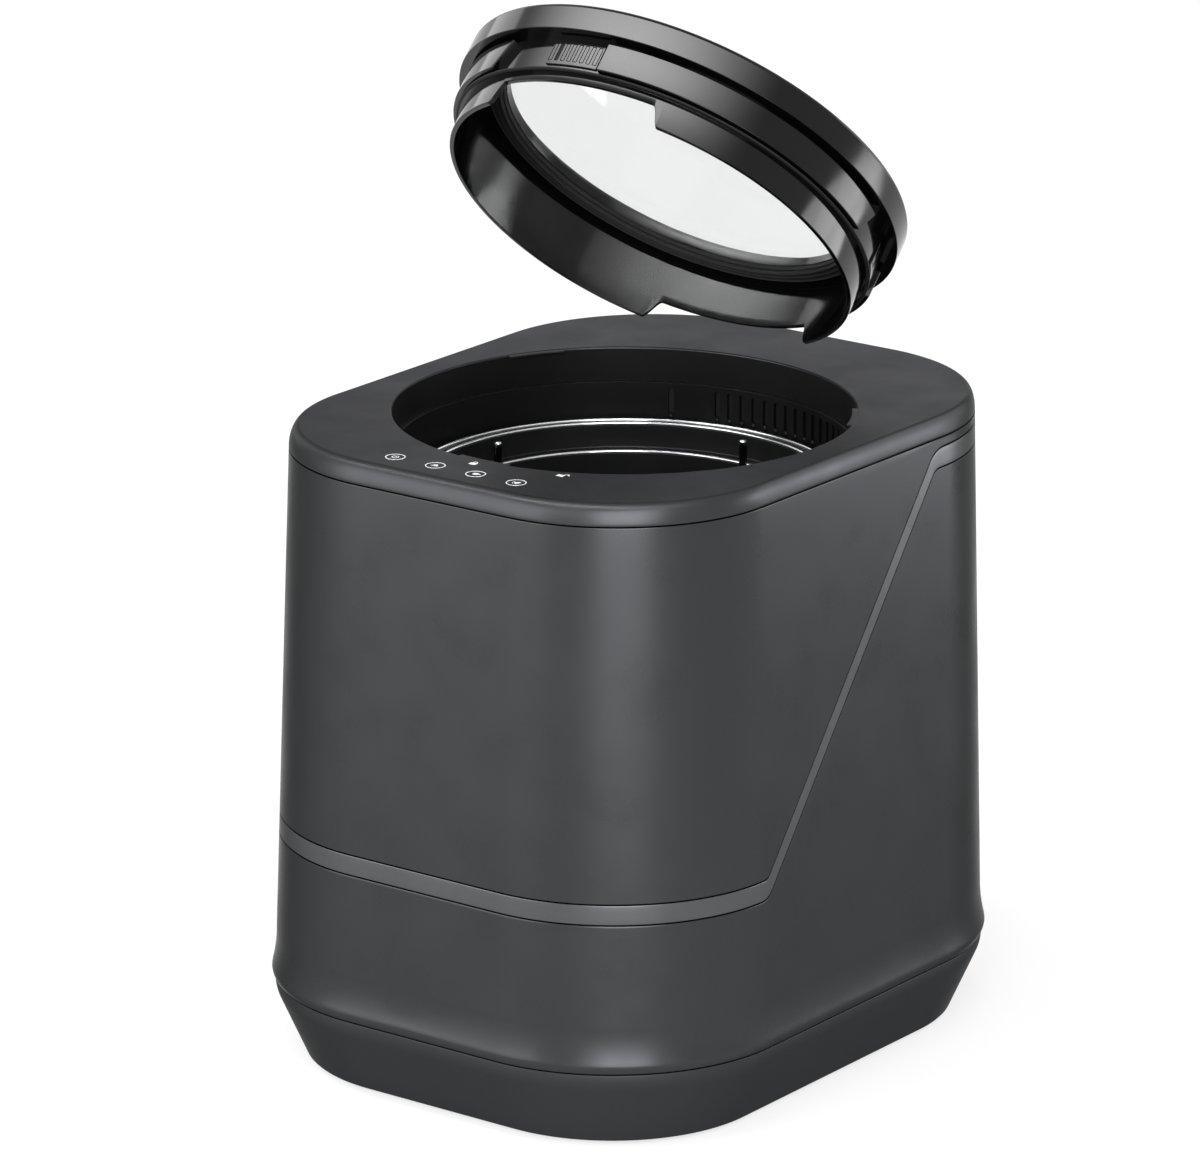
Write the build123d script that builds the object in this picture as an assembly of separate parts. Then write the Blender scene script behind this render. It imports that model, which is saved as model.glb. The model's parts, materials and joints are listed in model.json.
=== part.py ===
"""Electric food waste composter: a tapered housing with a round chamber, a lift-out bucket with
a driven agitator, a twist-off window lid shown raised, and the drive, heat and exhaust inside.

Millimetres. The origin is on the floor under the middle of the base, +Y to the rear, +Z up.
"""

import os
from math import cos, degrees, radians, sin, tan

from build123d import *

# ---------------------------------------------------------------- housing: outside
BODY_WIDTH = 264.0  # across the widest line, low on the housing
BODY_DEPTH = 324.0
BODY_HEIGHT = 300.0  # floor to the flat top of the cover
FRONT_CORNER = 89.9  # corner radii at the widest line
REAR_CORNER = 93.1
COVER_SEAM = 290.3  # height of the joint under the top cover
WAIST = 54.0  # the straight taper ends here and the wall flares
BULGE = 42.5  # height of the widest line
BASE_SEAM = 38.4  # joint between the lower shell and the base
FLARE = 2.4  # how far the waist lies inside the widest line
ROLL_IN = 1.6  # how far the base joint lies inside it
FLARE_STEPS = 4  # facets of the curve on each side of the widest line
BASE_CHAMFER = 14.9  # how far the base draws in from its joint to its foot
BASE_LIP = 4.8  # upright lip at the top of the base
SIDE_TAPER = 9.0  # inset of the cover joint at the sides, front and rear
FRONT_TAPER = 11.7
REAR_TAPER = 7.5
SIDE_ROUND = 3.0  # how far the cover's rounded edge draws in
FRONT_ROUND = 6.3
REAR_ROUND = 4.8
WALL = 2.6
SEAM_GAP = 0.5  # open line between two outer pieces
LIP_CLEARANCE = 0.1  # play behind an overlapping lip
LIP_THICKNESS = 1.8
LIP_REACH = 6.0
RIM_ROOT = 3.0  # the pan's inner rim grows out of its slanting wall, below its upright lip

# ---------------------------------------------------------------- trim strip
TRIM_LOW = 108.2  # lower edge round the front
TRIM_HIGH = 276.0  # lower edge along the rear
TRIM_HEIGHT = 9.5
TRIM_FRONT_BEND = -71.0  # where the strip leaves the front level and climbs
TRIM_REAR_BEND = 64.0
TRIM_BEND_RADIUS = 9.0
TRIM_FLANGE = 4.0  # hidden flange above and below the strip

# ---------------------------------------------------------------- feet, frame, fasteners
FOOT_HEIGHT = 1.5
FOOT_RADIUS = 10.0
FOOT_STEM = 3.0
FOOT_SIDE = 54.0  # feet inside the widest line, at the sides
FOOT_END = 64.0  # and at the front and rear
FLOOR_THICKNESS = 2.5
FRAME_LEVEL = 58.0
FRAME_THICKNESS = 3.0
PILLAR_RADIUS = 7.0
PILLAR_SIDE = 46.0
PILLAR_END = 60.0
SCREW_RADIUS = 1.9
SCREW_LENGTH = 12.0
SCREW_HEAD = 3.6
SCREW_HEAD_HEIGHT = 2.2
SCREW_CLEARANCE = 0.2

# ---------------------------------------------------------------- opening and chamber
AXIS_Y = -6.9  # centre of the opening, bucket, lid and drive
OPENING_RADIUS = 106.1
COLLAR_WALL = 2.4
COLLAR_DEPTH = 16.2  # from the top of the cover to the chamber's ledge
LUG_COUNT = 3
LUG_REACH = 2.5
LUG_TOP_GAP = 0.2  # below the top of the cover
LUG_HEIGHT = 1.2
LUG_ANGLE = 15.0
LUG_AT = 270.0
CHAMBER_RADIUS = 104.0
CHAMBER_WALL = 1.8
CHAMBER_FLANGE = 4.2
CHAMBER_FLOOR = 2.0
CHAMBER_HOLE = 17.0
CONTACT_FIT = 0.1  # between the chamber and what is wrapped round it
VENT_COUNT = 16
VENT_WIDTH = 2.6
VENT_HEIGHT = 12.0
VENT_DROP = 3.0  # from the ledge to the top of the slots
VENT_FROM = 48.0
VENT_PITCH = 3.6
VENT_LONE = 114.5  # one slot stands apart
WRAP_THICKNESS = 3.0
WRAP_FOOT = 8.0
WRAP_HEIGHT = 178.0
PLATE_RADIUS = 84.0
PLATE_THICKNESS = 4.0
ELEMENT_RADIUS = 62.0
ELEMENT_THICKNESS = 3.0
ELEMENT_FIT = 0.05
SENSOR_AT = 200.0
SENSOR_LIFT = 8.0  # above the insulation
SENSOR_SIZE = (6.0, 10.0, 8.0)

# ---------------------------------------------------------------- bucket
BUCKET_RADIUS = 84.0  # inside, below the step
BUCKET_WALL = 2.0
BUCKET_FLOOR = 3.0
BUCKET_STEP = 255.0  # top of the step inside the bucket
BUCKET_RIM = 266.5
NECK_RADIUS = 92.0  # inside, above the step
RIM_RADIUS = 100.0
BEAD_RADIUS = 1.0
BEAD_INSET = 1.1
LIFT_GAP = 0.2  # bucket foot above the heating plate
POST_RADIUS = 1.9
POST_CIRCLE = 80.5
POST_COUNT = 4
POST_AT = 83.5
POST_PROUD = 2.0  # above the rim
HANDLE_CIRCLE = 87.6
HANDLE_WIRE = 1.8
HANDLE_RISE = 4.4  # axis of the pivots above the step
PIVOT_RADIUS = 1.5
PIVOT_CLEARANCE = 0.06
GRIP_RADIUS = 3.4
GRIP_CORE = 1.4  # wire inside the grip
GRIP_ANGLE = 50.0
GRIP_FIT = 0.02

# ---------------------------------------------------------------- agitator
AGITATOR_SHAFT = 7.0
BUSH_RADIUS = 12.0
BUSH_BOSS = 9.0  # height of the boss in the bucket's floor
SOCKET_RADIUS = 13.0
DOG_FLATS = 15.0  # across the flats of the driving hexagon
DOG_CLEARANCE = 0.3
DOG_HEIGHT = 6.0
DOG_DROP = 1.5  # driving hexagon below the end of its socket
SOCKET_GAP = 0.1  # socket below the bucket's floor
HUB_RADIUS = 12.5
HUB_HEIGHT = 96.0
ARM_LEVELS = (88.0, 116.0, 146.0)  # three arms, one above the other
ARM_REACH = 74.0
ARM_WIDTH = 12.0
ARM_THICKNESS = 5.0
BLADE_HEIGHT = 22.0
BLADE_THICKNESS = 4.0
ARM_START = 30.0  # direction of the lowest arm
ARM_EDGE = 1.5
CAP_HEIGHT = 9.0
CAP_TOP = 3.0  # cap above the end of the shaft
CAP_FIT = 0.05
SEAL_THICKNESS = 3.0
HUB_LIFT = 1.3  # hub above the shaft seal
RUNNING = 0.06  # radial running clearance of shafts

# ---------------------------------------------------------------- drive
MODULE = 1.5
OUTPUT_TEETH = 72
IDLER_TEETH = 44
PINION_TEETH = 18
TOOTH_SHARE = 0.40  # tooth thickness as a share of the pitch
GEAR_WIDTH = 9.0
GEAR_BOTTOM = 18.0
OUTPUT_SHAFT = 6.0
IDLER_PIN = 4.0
MOTOR_SHAFT = 3.0
GEARBOX_WALL = 2.4
GEARBOX_BOTTOM = 14.0
GEARBOX_TOP = 36.0
GEARBOX_COVER = 3.0
GEARBOX_PLAY = 1.5  # round the gears' tips
BEARING_RADIUS = 13.0
BEARING_WIDTH = 7.0
MOTOR_RADIUS = 19.0
MOTOR_LENGTH = 62.0
MOTOR_WALL = 1.6
MOTOR_END = 2.0
MOTOR_CORNER = 3.0
MOTOR_BUSH = 4.0  # wall of the motor's bush
MOTOR_BUSH_HEIGHT = 6.0
ROTOR_GAP = 3.0  # armature inside the can's outside
ROTOR_LOW = 10.0
ROTOR_HIGH = 8.0
TIP_SHARE = 0.9  # tooth above the pitch circle, in modules
ROOT_SHARE = 1.2
PRESSURE_ANGLE = 20.0
FLANK_ROOT = 0.7  # how far the flanks spread at the root and close at the tip
FLANK_TIP = 0.8
WEB_HOLES = 6
WEB_HOLE = 8.0
KEY_SIZE = 2.3
KEY_PLAY = 0.1
GEAR_LIFT = 0.3  # gears above the bosses they run on
SHAFT_LIFT = 0.5  # running shafts above the blind ends of their bores
BOSS_WALL = 3.0
OUTPUT_BOSS = 4.0
EAR_THICKNESS = 4.0
EAR_OUT = 14.0  # fixing ears beyond the large gear
EAR_SIDE = 17.0
EAR_BACK = 12.0
EAR_REACH = 16.0
EAR_SCREW = 10.0
PIN_FIT = 0.02
COVER_HOLE = 2.0  # radial room for the shafts in the gearbox cover
BEARING_GROOVE = (8.6, 10.6)
GROOVE_DEPTH = 1.0

# ---------------------------------------------------------------- exhaust
FILTER_WIDTH = 76.0
FILTER_BOTTOM = 176.0
FILTER_TOP = 270.0
FILTER_GAP = 2.9  # filter case behind the duct
FILTER_WALL = 2.0
FILTER_PLAY = 0.5
GRILLE_WIDTH = 56.0
GRILLE_BOTTOM = 116.0
GRILLE_TOP = 166.0
GRILLE_SINK = 0.6  # grille below the shell's surface
GRILLE_THICKNESS = 2.8
GRILLE_PLAY = 0.2
GRILLE_EDGE = 4.0
GRILLE_SLOT = 3.0
GRILLE_BARS = 7
FAN_SIZE = 48.0
FAN_DEPTH = 12.0
FAN_BORE = 22.0
FAN_HUB = 8.0
FAN_BLADES = 7
FAN_TIP_GAP = 1.0
FAN_CORNER = 3.0
FAN_STRUT = 3.0
FAN_SEAT = 2.0  # thickness of the struts and the hub's seat
FAN_PIN = 1.5
FAN_PIN_LENGTH = 6.0
FAN_PITCH = 35.0
FAN_BLADE = 1.2
FAN_END_GAP = 1.0  # impeller in front of the grille
DUCT_DEPTH = 4.6
DUCT_WALL = 1.4
DUCT_MARGIN = 3.0  # duct beyond the slots it covers
DUCT_MOUTH = 28.0
CASE_GAP = 0.3  # filter case behind the shell
CASE_MOUTH = ((-16.0, 16.0), (248.0, 262.0))  # air inlet of the filter case, X and Z
CASE_OUTLET = 36.0  # width of its outlet underneath
OUTLET_MARGIN = 9.5
COVER_REACH = 30.0
SCOOP_RADIUS = 9.0  # finger recess of the drawer
SCOOP_LENGTH = 34.0
SCOOP_OUT = 4.0
SCOOP_UP = 30.0
TRAY_SIDE = 30.0
TRAY_HOLES = 5
TRAY_PITCH = 14.0
TRAY_HOLE = 8.0
TRAY_MARGIN = 6.0
CARTRIDGE_CORNER = 3.0

# ---------------------------------------------------------------- electrics
BOARD_THICKNESS = 1.6
TOUCH_X = (-34.3, -11.5, 10.7, 33.5)
TOUCH_FORWARD = 3.2  # touch marks before the middle of the cover's front strip
TOUCH_RING = 4.6  # radius of the ring round each touch mark
MARK_LINE = 0.45
MARK_HEIGHT = 0.15
LOCK_CIRCLE = 110.9  # circle that the two lock marks stand on
LOCK_TURN = 22.5  # twist from unlocked to locked
BOARD_LIFT = 6.0  # main board above the floor of the pan
BOARD_X = 96.0
BOARD_FRONT = 37.0  # main board behind the widest line's front
BOARD_DEPTH = 42.0
BOARD_CORNER = 2.0
PART_HEIGHTS = (18.0, 16.0, 14.0, 9.0)  # transformer, capacitors, relay, terminals
CAPACITOR_RADIUS = 5.0
TOUCH_BOARD_X = 90.0
TOUCH_BOARD_MARGIN = 5.5  # board inside the room between the collar and the cover's lip
TOUCH_SPRING = 3.6
SPRING_INSIDE = 2.2
SPRING_OUTSIDE = 3.4
LOCK_BODY = 3.6  # width of the padlock marks
LOCK_HEIGHT = 2.6
SHACKLE_INSIDE = 0.9
SHACKLE_OUTSIDE = 1.4
INLET_X = 34.0
INLET_Z = 62.0
INLET_WIDTH = 20.0
INLET_HEIGHT = 13.0
INLET_DEPTH = 20.0
INLET_WALL = 2.0
INLET_FLOOR = 4.0
INLET_FIT = 0.2  # inlet inside its hole in the shell
INLET_CORNER = 2.0
PIN_RADIUS = 1.2
PIN_LENGTH = 10.0
PIN_SPREAD = 4.3

# ---------------------------------------------------------------- lid
LID_RAISE = 46.0  # tilt of the raised lid, in degrees
LID_YAW = 3.15  # its swing axis isn't square to the housing
LID_AXIS_BACK = 143.9  # swing axis behind the opening's centre
LID_AXIS_UP = 301.5
LID_GAP = 0.4  # band above the cover when closed
BAND_RADIUS = 108.9
BAND_HEIGHT = 14.0
BAND_ROUND = 2.6
COLLAR_RADIUS = 101.0  # outside of the lid's collar
COLLAR_INSIDE = 97.0
COLLAR_HEIGHT = 35.8  # from the top of the lid to the short skirt's edge
SKIRT_RADIUS = 99.4
SKIRT_TOP = 32.3
SKIRT_HEIGHT = 46.1  # to the long skirt's edge
SKIRT_SHORT_FROM = 247.0
SKIRT_SHORT_TO = 298.0
PAD_RADIUS = 104.6
PAD_TOP = 16.0
PAD_BOTTOM = 30.2
PAD_FROM = 279.5
PAD_TO = 368.5
PAD_SLANT = 30.0
VENT_PLATE_RADIUS = 102.0
VENT_PLATE_ANGLE = 15.5
VENT_PLATE_TOP = 16.0
VENT_PLATE_BOTTOM = 28.9
PLATE_SLOTS = 8
SEAL_TOP = 30.5
SEAL_HEIGHT = 1.4
SEAL_RADIUS = 102.6
SEAL_SEAT = 100.2
TURN_GAP = 0.4  # between the turning ring and the window it carries
WINDOW_FRAME_IN = 87.0
WINDOW_FRAME_HEIGHT = 9.0
WINDOW_SEAT = 90.0
GLASS_THICKNESS = 3.0
GLASS_DROP = 1.2
GASKET_RIDGES = 3
GASKET_PITCH = 2.8
GASKET_RIDGE = 1.0

# ================================================================ helpers
HALF_WIDTH = BODY_WIDTH / 2
HALF_DEPTH = BODY_DEPTH / 2
FOOT_X = HALF_WIDTH - FOOT_SIDE
FOOT_Y = HALF_DEPTH - FOOT_END
PILLAR_X = HALF_WIDTH - PILLAR_SIDE
PILLAR_Y = HALF_DEPTH - PILLAR_END
FLAT_FRONT = FRONT_TAPER + FRONT_ROUND - HALF_DEPTH
OPENING_FRONT = AXIS_Y - OPENING_RADIUS
TOUCH_Y = (FLAT_FRONT + OPENING_FRONT) / 2 - TOUCH_FORWARD
LIP_INSIDE = WALL + LIP_CLEARANCE + LIP_THICKNESS
TOUCH_BOARD_Y = (
    FRONT_TAPER + LIP_INSIDE - HALF_DEPTH + TOUCH_BOARD_MARGIN,
    OPENING_FRONT - COLLAR_WALL - TOUCH_BOARD_MARGIN,
)
BOARD_Y = (BOARD_FRONT - HALF_DEPTH, BOARD_FRONT + BOARD_DEPTH - HALF_DEPTH)
FILTER_FRONT = AXIS_Y + CHAMBER_RADIUS + CHAMBER_WALL + CONTACT_FIT + DUCT_DEPTH + FILTER_GAP
LEDGE = BODY_HEIGHT - COLLAR_DEPTH
CHAMBER_BOTTOM = FRAME_LEVEL + FRAME_THICKNESS
PLATE_BOTTOM = CHAMBER_BOTTOM + CHAMBER_FLOOR
PLATE_TOP = PLATE_BOTTOM + PLATE_THICKNESS
BUCKET_FOOT = PLATE_TOP + LIFT_GAP
BUCKET_INSIDE = BUCKET_FOOT + BUCKET_FLOOR
OUTPUT_PITCH = MODULE * OUTPUT_TEETH / 2
IDLER_PITCH = MODULE * IDLER_TEETH / 2
PINION_PITCH = MODULE * PINION_TEETH / 2
IDLER_Y = AXIS_Y + OUTPUT_PITCH + IDLER_PITCH
MOTOR_Y = IDLER_Y + IDLER_PITCH + PINION_PITCH
LID_TOP = BODY_HEIGHT + LID_GAP + BAND_HEIGHT
HANDLE_AXIS_Z = BUCKET_STEP + HANDLE_RISE
SHAFT_FOOT = PLATE_TOP - DOG_HEIGHT
SEAL_FOOT = BUCKET_FOOT + BUSH_BOSS
HUB_FOOT = SEAL_FOOT + SEAL_THICKNESS + HUB_LIFT
GEARBOX_LID = GEARBOX_TOP + GEARBOX_COVER
EAR_TOP = GEARBOX_BOTTOM + EAR_THICKNESS
FAN_Z = (GRILLE_BOTTOM + GRILLE_TOP) / 2
LID_AXIS = Axis(
    (
        -LID_AXIS_BACK * sin(radians(LID_YAW)),
        AXIS_Y + LID_AXIS_BACK * cos(radians(LID_YAW)),
        LID_AXIS_UP,
    ),
    (-cos(radians(LID_YAW)), -sin(radians(LID_YAW)), 0),
)


def save(shape, node):
    shape.label = node
    export_step(shape, f"parts/{node}.step")


def insets(z):
    """How far the housing's outside lies inside its widest line, at the side, front and rear."""
    if z <= BASE_SEAM:
        knee = BASE_SEAM - BASE_LIP
        inset = ROLL_IN + BASE_CHAMFER * max(0, (knee - z) / knee)
        return inset, inset, inset
    if z <= BULGE:
        inset = ROLL_IN * ((BULGE - z) / (BULGE - BASE_SEAM)) ** 2
        return inset, inset, inset
    if z <= WAIST:
        along = (z - BULGE) / (WAIST - BULGE)
        inset = FLARE * along * along * (3 - 2 * along)
        return inset, inset, inset
    along = (z - WAIST) / (COVER_SEAM - WAIST)
    return tuple(FLARE + (top - FLARE) * along for top in (SIDE_TAPER, FRONT_TAPER, REAR_TAPER))


def outline(z, side, front, rear, inward=0.0):
    """The housing's rounded footprint at one height, as a face."""
    right = HALF_WIDTH - side - inward
    low = -HALF_DEPTH + front + inward
    high = HALF_DEPTH - rear - inward
    near = FRONT_CORNER - side - inward
    far = REAR_CORNER - side - inward
    edges = [
        Line((-right + near, low), (right - near, low)),
        CenterArc((right - near, low + near), near, -90, 90),
        Line((right, low + near), (right, high - far)),
        CenterArc((right - far, high - far), far, 0, 90),
        Line((right - far, high), (-right + far, high)),
        CenterArc((-right + far, high - far), far, 90, 90),
        Line((-right, high - far), (-right, low + near)),
        CenterArc((-right + near, low + near), near, 180, 90),
    ]
    return Pos(0, 0, z) * make_face(Curve() + edges)


def wall_face(z, inward=0.0):
    return outline(z, *insets(z), inward)


def body_block(low, high, inward=0.0):
    """The housing's outer form between two heights, pulled in by a wall."""
    under = [BASE_SEAM + (BULGE - BASE_SEAM) * k / FLARE_STEPS for k in range(1, FLARE_STEPS)]
    over = [BULGE + (WAIST - BULGE) * k / FLARE_STEPS for k in range(FLARE_STEPS + 1)]
    levels = [low] + [z for z in under + over if low < z < high] + [high]
    return loft([wall_face(z, inward) for z in levels], ruled=True)


def cover_block(inward=0.0, top=BODY_HEIGHT, bottom=COVER_SEAM):
    """The top cover's outer form: a quarter ellipse from its joint to its flat top."""
    side, front, rear = insets(COVER_SEAM)
    faces = []
    for turn in (0, 25, 50, 72, 90):
        inset = 1 - cos(radians(turn))
        faces.append(
            outline(
                bottom + (top - bottom) * sin(radians(turn)),
                side + SIDE_ROUND * inset,
                front + FRONT_ROUND * inset,
                rear + REAR_ROUND * inset,
                inward,
            )
        )
    return loft(faces)


def tube(inner, outer, low, high, x=0.0, y=AXIS_Y):
    ring = Cylinder(outer, high - low) - Cylinder(inner, high - low)
    return Pos(x, y, (low + high) / 2) * ring


def rod(radius, low, high, x=0.0, y=AXIS_Y):
    return Pos(x, y, (low + high) / 2) * Cylinder(radius, high - low)


def block(x_span, y_span, z_span):
    (x0, x1), (y0, y1), (z0, z1) = x_span, y_span, z_span
    centre = Pos((x0 + x1) / 2, (y0 + y1) / 2, (z0 + z1) / 2)
    return centre * Box(x1 - x0, y1 - y0, z1 - z0)


def turned(points, start=0.0, sweep=360.0):
    """A profile of (radius, height) points turned about the opening's axis."""
    profile = Plane.XZ * Polygon(*points, align=None)
    return Pos(0, AXIS_Y, 0) * Rot(0, 0, start) * revolve(profile, Axis.Z, sweep)


def sector(inner, outer, low, high, start, end):
    return turned([(inner, low), (outer, low), (outer, high), (inner, high)], start, end - start)


def polar(radius, angle, y=AXIS_Y):
    return radius * cos(radians(angle)), y + radius * sin(radians(angle))


def joined(shapes):
    whole = shapes[0]
    for shape in shapes[1:]:
        whole += shape
    return whole


# ================================================================ housing
def trim_cut(rise):
    """Everything below the trim's lower edge raised by rise, as a bar across the housing."""
    low = TRIM_LOW + rise
    high = TRIM_HIGH + rise
    far = BODY_DEPTH
    path = FilletPolyline(
        (-far, low),
        (TRIM_FRONT_BEND, low),
        (TRIM_REAR_BEND, high),
        (far, high),
        radius=TRIM_BEND_RADIUS,
    )
    edges = path.edges() + [Line((far, high), (far, -far)), Line((far, -far), (-far, -far))]
    edges += [Line((-far, -far), (-far, low))]
    face = Plane.YZ * make_face(Curve() + edges)
    return Pos(-BODY_WIDTH, 0, 0) * extrude(face, 2 * BODY_WIDTH)


def make_shells():
    """Lower shell, trim strip and front panel, all cut from one tapering wall."""
    low = BASE_SEAM + SEAM_GAP
    high = COVER_SEAM - SEAM_GAP
    wall = body_block(low, high) - body_block(low, high, WALL)
    half = SEAM_GAP / 2
    lower = wall & trim_cut(-half)
    panel = wall - trim_cut(TRIM_HEIGHT + half)
    strip = (wall - trim_cut(half)) & trim_cut(TRIM_HEIGHT - half)
    skin = WALL + LIP_CLEARANCE
    lining = body_block(low, high, WALL) - body_block(low, high, skin + LIP_THICKNESS)
    play = lining - body_block(low, high, skin)
    flange = (lining - trim_cut(-TRIM_FLANGE)) & trim_cut(TRIM_HEIGHT + TRIM_FLANGE)
    web = (play - trim_cut(half)) & trim_cut(TRIM_HEIGHT - half)
    flange = flange - play + web
    rear_openings = drawer_hole() + grille_hole() + inlet_hole()
    return lower - rear_openings, panel, (strip + flange) - cover_lip_space()


def cover_lip_space():
    """Room for the lip that hangs from the top cover behind the shells."""
    low = COVER_SEAM - LIP_REACH - 2 * SEAM_GAP
    outer = body_block(low, COVER_SEAM, WALL)
    return outer - body_block(low, COVER_SEAM, WALL + 2 * LIP_CLEARANCE + LIP_THICKNESS + 1)


def slab(low, high):
    return block((-HALF_WIDTH, HALF_WIDTH), (-HALF_DEPTH, HALF_DEPTH), (low, high))


def make_cover():
    shell = cover_block() - cover_block(WALL, BODY_HEIGHT - WALL, COVER_SEAM - 0.01)
    play = WALL + LIP_CLEARANCE
    lip = body_block(COVER_SEAM - LIP_REACH, COVER_SEAM, play)
    lip -= body_block(COVER_SEAM - LIP_REACH, COVER_SEAM, play + LIP_THICKNESS)
    root = cover_block(WALL / 2) - cover_block(play + LIP_THICKNESS)
    root &= slab(COVER_SEAM, COVER_SEAM + LIP_THICKNESS)
    collar = tube(OPENING_RADIUS, OPENING_RADIUS + COLLAR_WALL, LEDGE, BODY_HEIGHT)
    cover = shell + root + lip + collar
    cover -= rod(OPENING_RADIUS, LEDGE - 1, BODY_HEIGHT + 1)
    top = BODY_HEIGHT - LUG_TOP_GAP
    for k in range(LUG_COUNT):
        middle = LUG_AT + 360 / LUG_COUNT * k
        start = middle - LUG_ANGLE / 2
        inner = OPENING_RADIUS - LUG_REACH
        outer = OPENING_RADIUS + COLLAR_WALL / 2
        cover += sector(inner, outer, top - LUG_HEIGHT, top, start, start + LUG_ANGLE)
    underside = BODY_HEIGHT - WALL
    for x in (-1, 1):
        at = x * (TOUCH_BOARD_X / 2 - TOUCH_SPRING)
        cover += rod(TOUCH_SPRING / 2, underside - TOUCH_SPRING, underside + 0.5, at, TOUCH_Y)
    return cover


def make_base():
    """Base pan: a dished floor with a chamfered wall, four pillars and a lip for the shell."""
    foot = FOOT_HEIGHT
    knee = BASE_SEAM - BASE_LIP
    outer = loft([wall_face(foot), wall_face(knee)], ruled=True)
    inner = loft(
        [wall_face(foot + FLOOR_THICKNESS, WALL), wall_face(knee, WALL)], ruled=True
    )
    lip = extrude(wall_face(knee), BASE_LIP) - extrude(wall_face(knee, WALL), BASE_LIP)
    inset = insets(BASE_SEAM)[0] + WALL + LIP_CLEARANCE
    rim = outline(knee - RIM_ROOT, inset, inset, inset)
    rim_inside = outline(knee - RIM_ROOT, inset, inset, inset, LIP_THICKNESS)
    height = RIM_ROOT + BASE_LIP + SEAM_GAP + LIP_REACH
    pan = outer - inner + lip + (extrude(rim, height) - extrude(rim_inside, height))
    floor_top = foot + FLOOR_THICKNESS
    for x, y in corners(PILLAR_X, PILLAR_Y):
        pan += rod(PILLAR_RADIUS, floor_top - 1, FRAME_LEVEL, x, y)
        pan -= rod(SCREW_RADIUS, FRAME_LEVEL - SCREW_LENGTH, FRAME_LEVEL + 1, x, y)
    for x, y in corners(FOOT_X, FOOT_Y):
        pan -= rod(FOOT_STEM, 0, floor_top + 1, x, y)
    for x, y in gearbox_posts():
        pan += rod(PILLAR_RADIUS, floor_top - 1, GEARBOX_BOTTOM, x, y)
        pan -= rod(SCREW_RADIUS, floor_top, GEARBOX_BOTTOM + 1, x, y)
    for x, y in board_posts():
        pan += rod(SCREW_HEAD, floor_top - 1, floor_top + BOARD_LIFT, x, y)
    return pan


def board_posts():
    inset = SCREW_HEAD + 1
    ys = (BOARD_Y[0] + inset, BOARD_Y[1] - inset)
    return [(x * (BOARD_X / 2 - inset), y) for x in (-1, 1) for y in ys]


def corners(x, y):
    return [(-x, -y), (x, -y), (-x, y), (x, y)]


def make_feet():
    feet = []
    for x, y in corners(FOOT_X, FOOT_Y):
        pad = rod(FOOT_RADIUS, 0, FOOT_HEIGHT, x, y)
        stem = rod(FOOT_STEM - 0.05, FOOT_HEIGHT, FOOT_HEIGHT + FLOOR_THICKNESS + 1, x, y)
        feet.append(pad + stem)
    return Compound(children=feet)


def make_frame():
    """Plate across the housing that carries the chamber, on the pan's four pillars."""
    plate = extrude(wall_face(FRAME_LEVEL, WALL + LIP_THICKNESS + 1), FRAME_THICKNESS)
    plate -= rod(CHAMBER_HOLE, FRAME_LEVEL - 1, CHAMBER_BOTTOM + 1)
    plate -= rod(MOTOR_RADIUS + 2, FRAME_LEVEL - 1, CHAMBER_BOTTOM + 1, 0, MOTOR_Y)
    plate -= inlet_room()
    for x, y in corners(PILLAR_X, PILLAR_Y):
        hole = SCREW_RADIUS + SCREW_CLEARANCE
        plate -= rod(hole, FRAME_LEVEL - 1, CHAMBER_BOTTOM + 1, x, y)
    return plate


def screw(x, y, seat, length):
    head = rod(SCREW_HEAD, seat, seat + SCREW_HEAD_HEIGHT, x, y)
    head -= Pos(x, y, seat + SCREW_HEAD_HEIGHT) * Box(2.2 * SCREW_HEAD, 1.0, 1.6)
    shank = rod(SCREW_RADIUS - 0.05, seat - length, seat, x, y)
    return head + shank


def make_frame_screws():
    return Compound(
        children=[screw(x, y, CHAMBER_BOTTOM, SCREW_LENGTH) for x, y in corners(PILLAR_X, PILLAR_Y)]
    )


# ================================================================ chamber
def make_chamber():
    outer = CHAMBER_RADIUS + CHAMBER_WALL
    wall = tube(CHAMBER_RADIUS, outer, CHAMBER_BOTTOM, LEDGE)
    floor = tube(CHAMBER_HOLE, outer, CHAMBER_BOTTOM, PLATE_BOTTOM)
    flange = tube(CHAMBER_RADIUS, outer + CHAMBER_FLANGE, LEDGE - CHAMBER_WALL, LEDGE)
    chamber = wall + floor + flange
    top = LEDGE - VENT_DROP
    angles = [VENT_FROM + VENT_PITCH * k for k in range(VENT_COUNT)] + [VENT_LONE]
    for angle in angles:
        slot = Box(6 * CHAMBER_WALL, VENT_WIDTH, VENT_HEIGHT)
        x, y = polar(CHAMBER_RADIUS + CHAMBER_WALL / 2, angle)
        chamber -= Pos(x, y, top - VENT_HEIGHT / 2) * Rot(0, 0, angle) * slot
    return chamber


def make_heating_plate():
    plate = tube(CHAMBER_HOLE, PLATE_RADIUS, PLATE_BOTTOM, PLATE_TOP)
    return plate - element_ring(ELEMENT_FIT)


def element_ring(play=0.0):
    half = ELEMENT_THICKNESS / 2 + play
    low = PLATE_BOTTOM
    return tube(ELEMENT_RADIUS - half, ELEMENT_RADIUS + half, low, low + 2 * half)


def make_wrap():
    inner = CHAMBER_RADIUS + CHAMBER_WALL + CONTACT_FIT
    low = CHAMBER_BOTTOM + WRAP_FOOT
    return tube(inner, inner + WRAP_THICKNESS, low, low + WRAP_HEIGHT)


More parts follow.
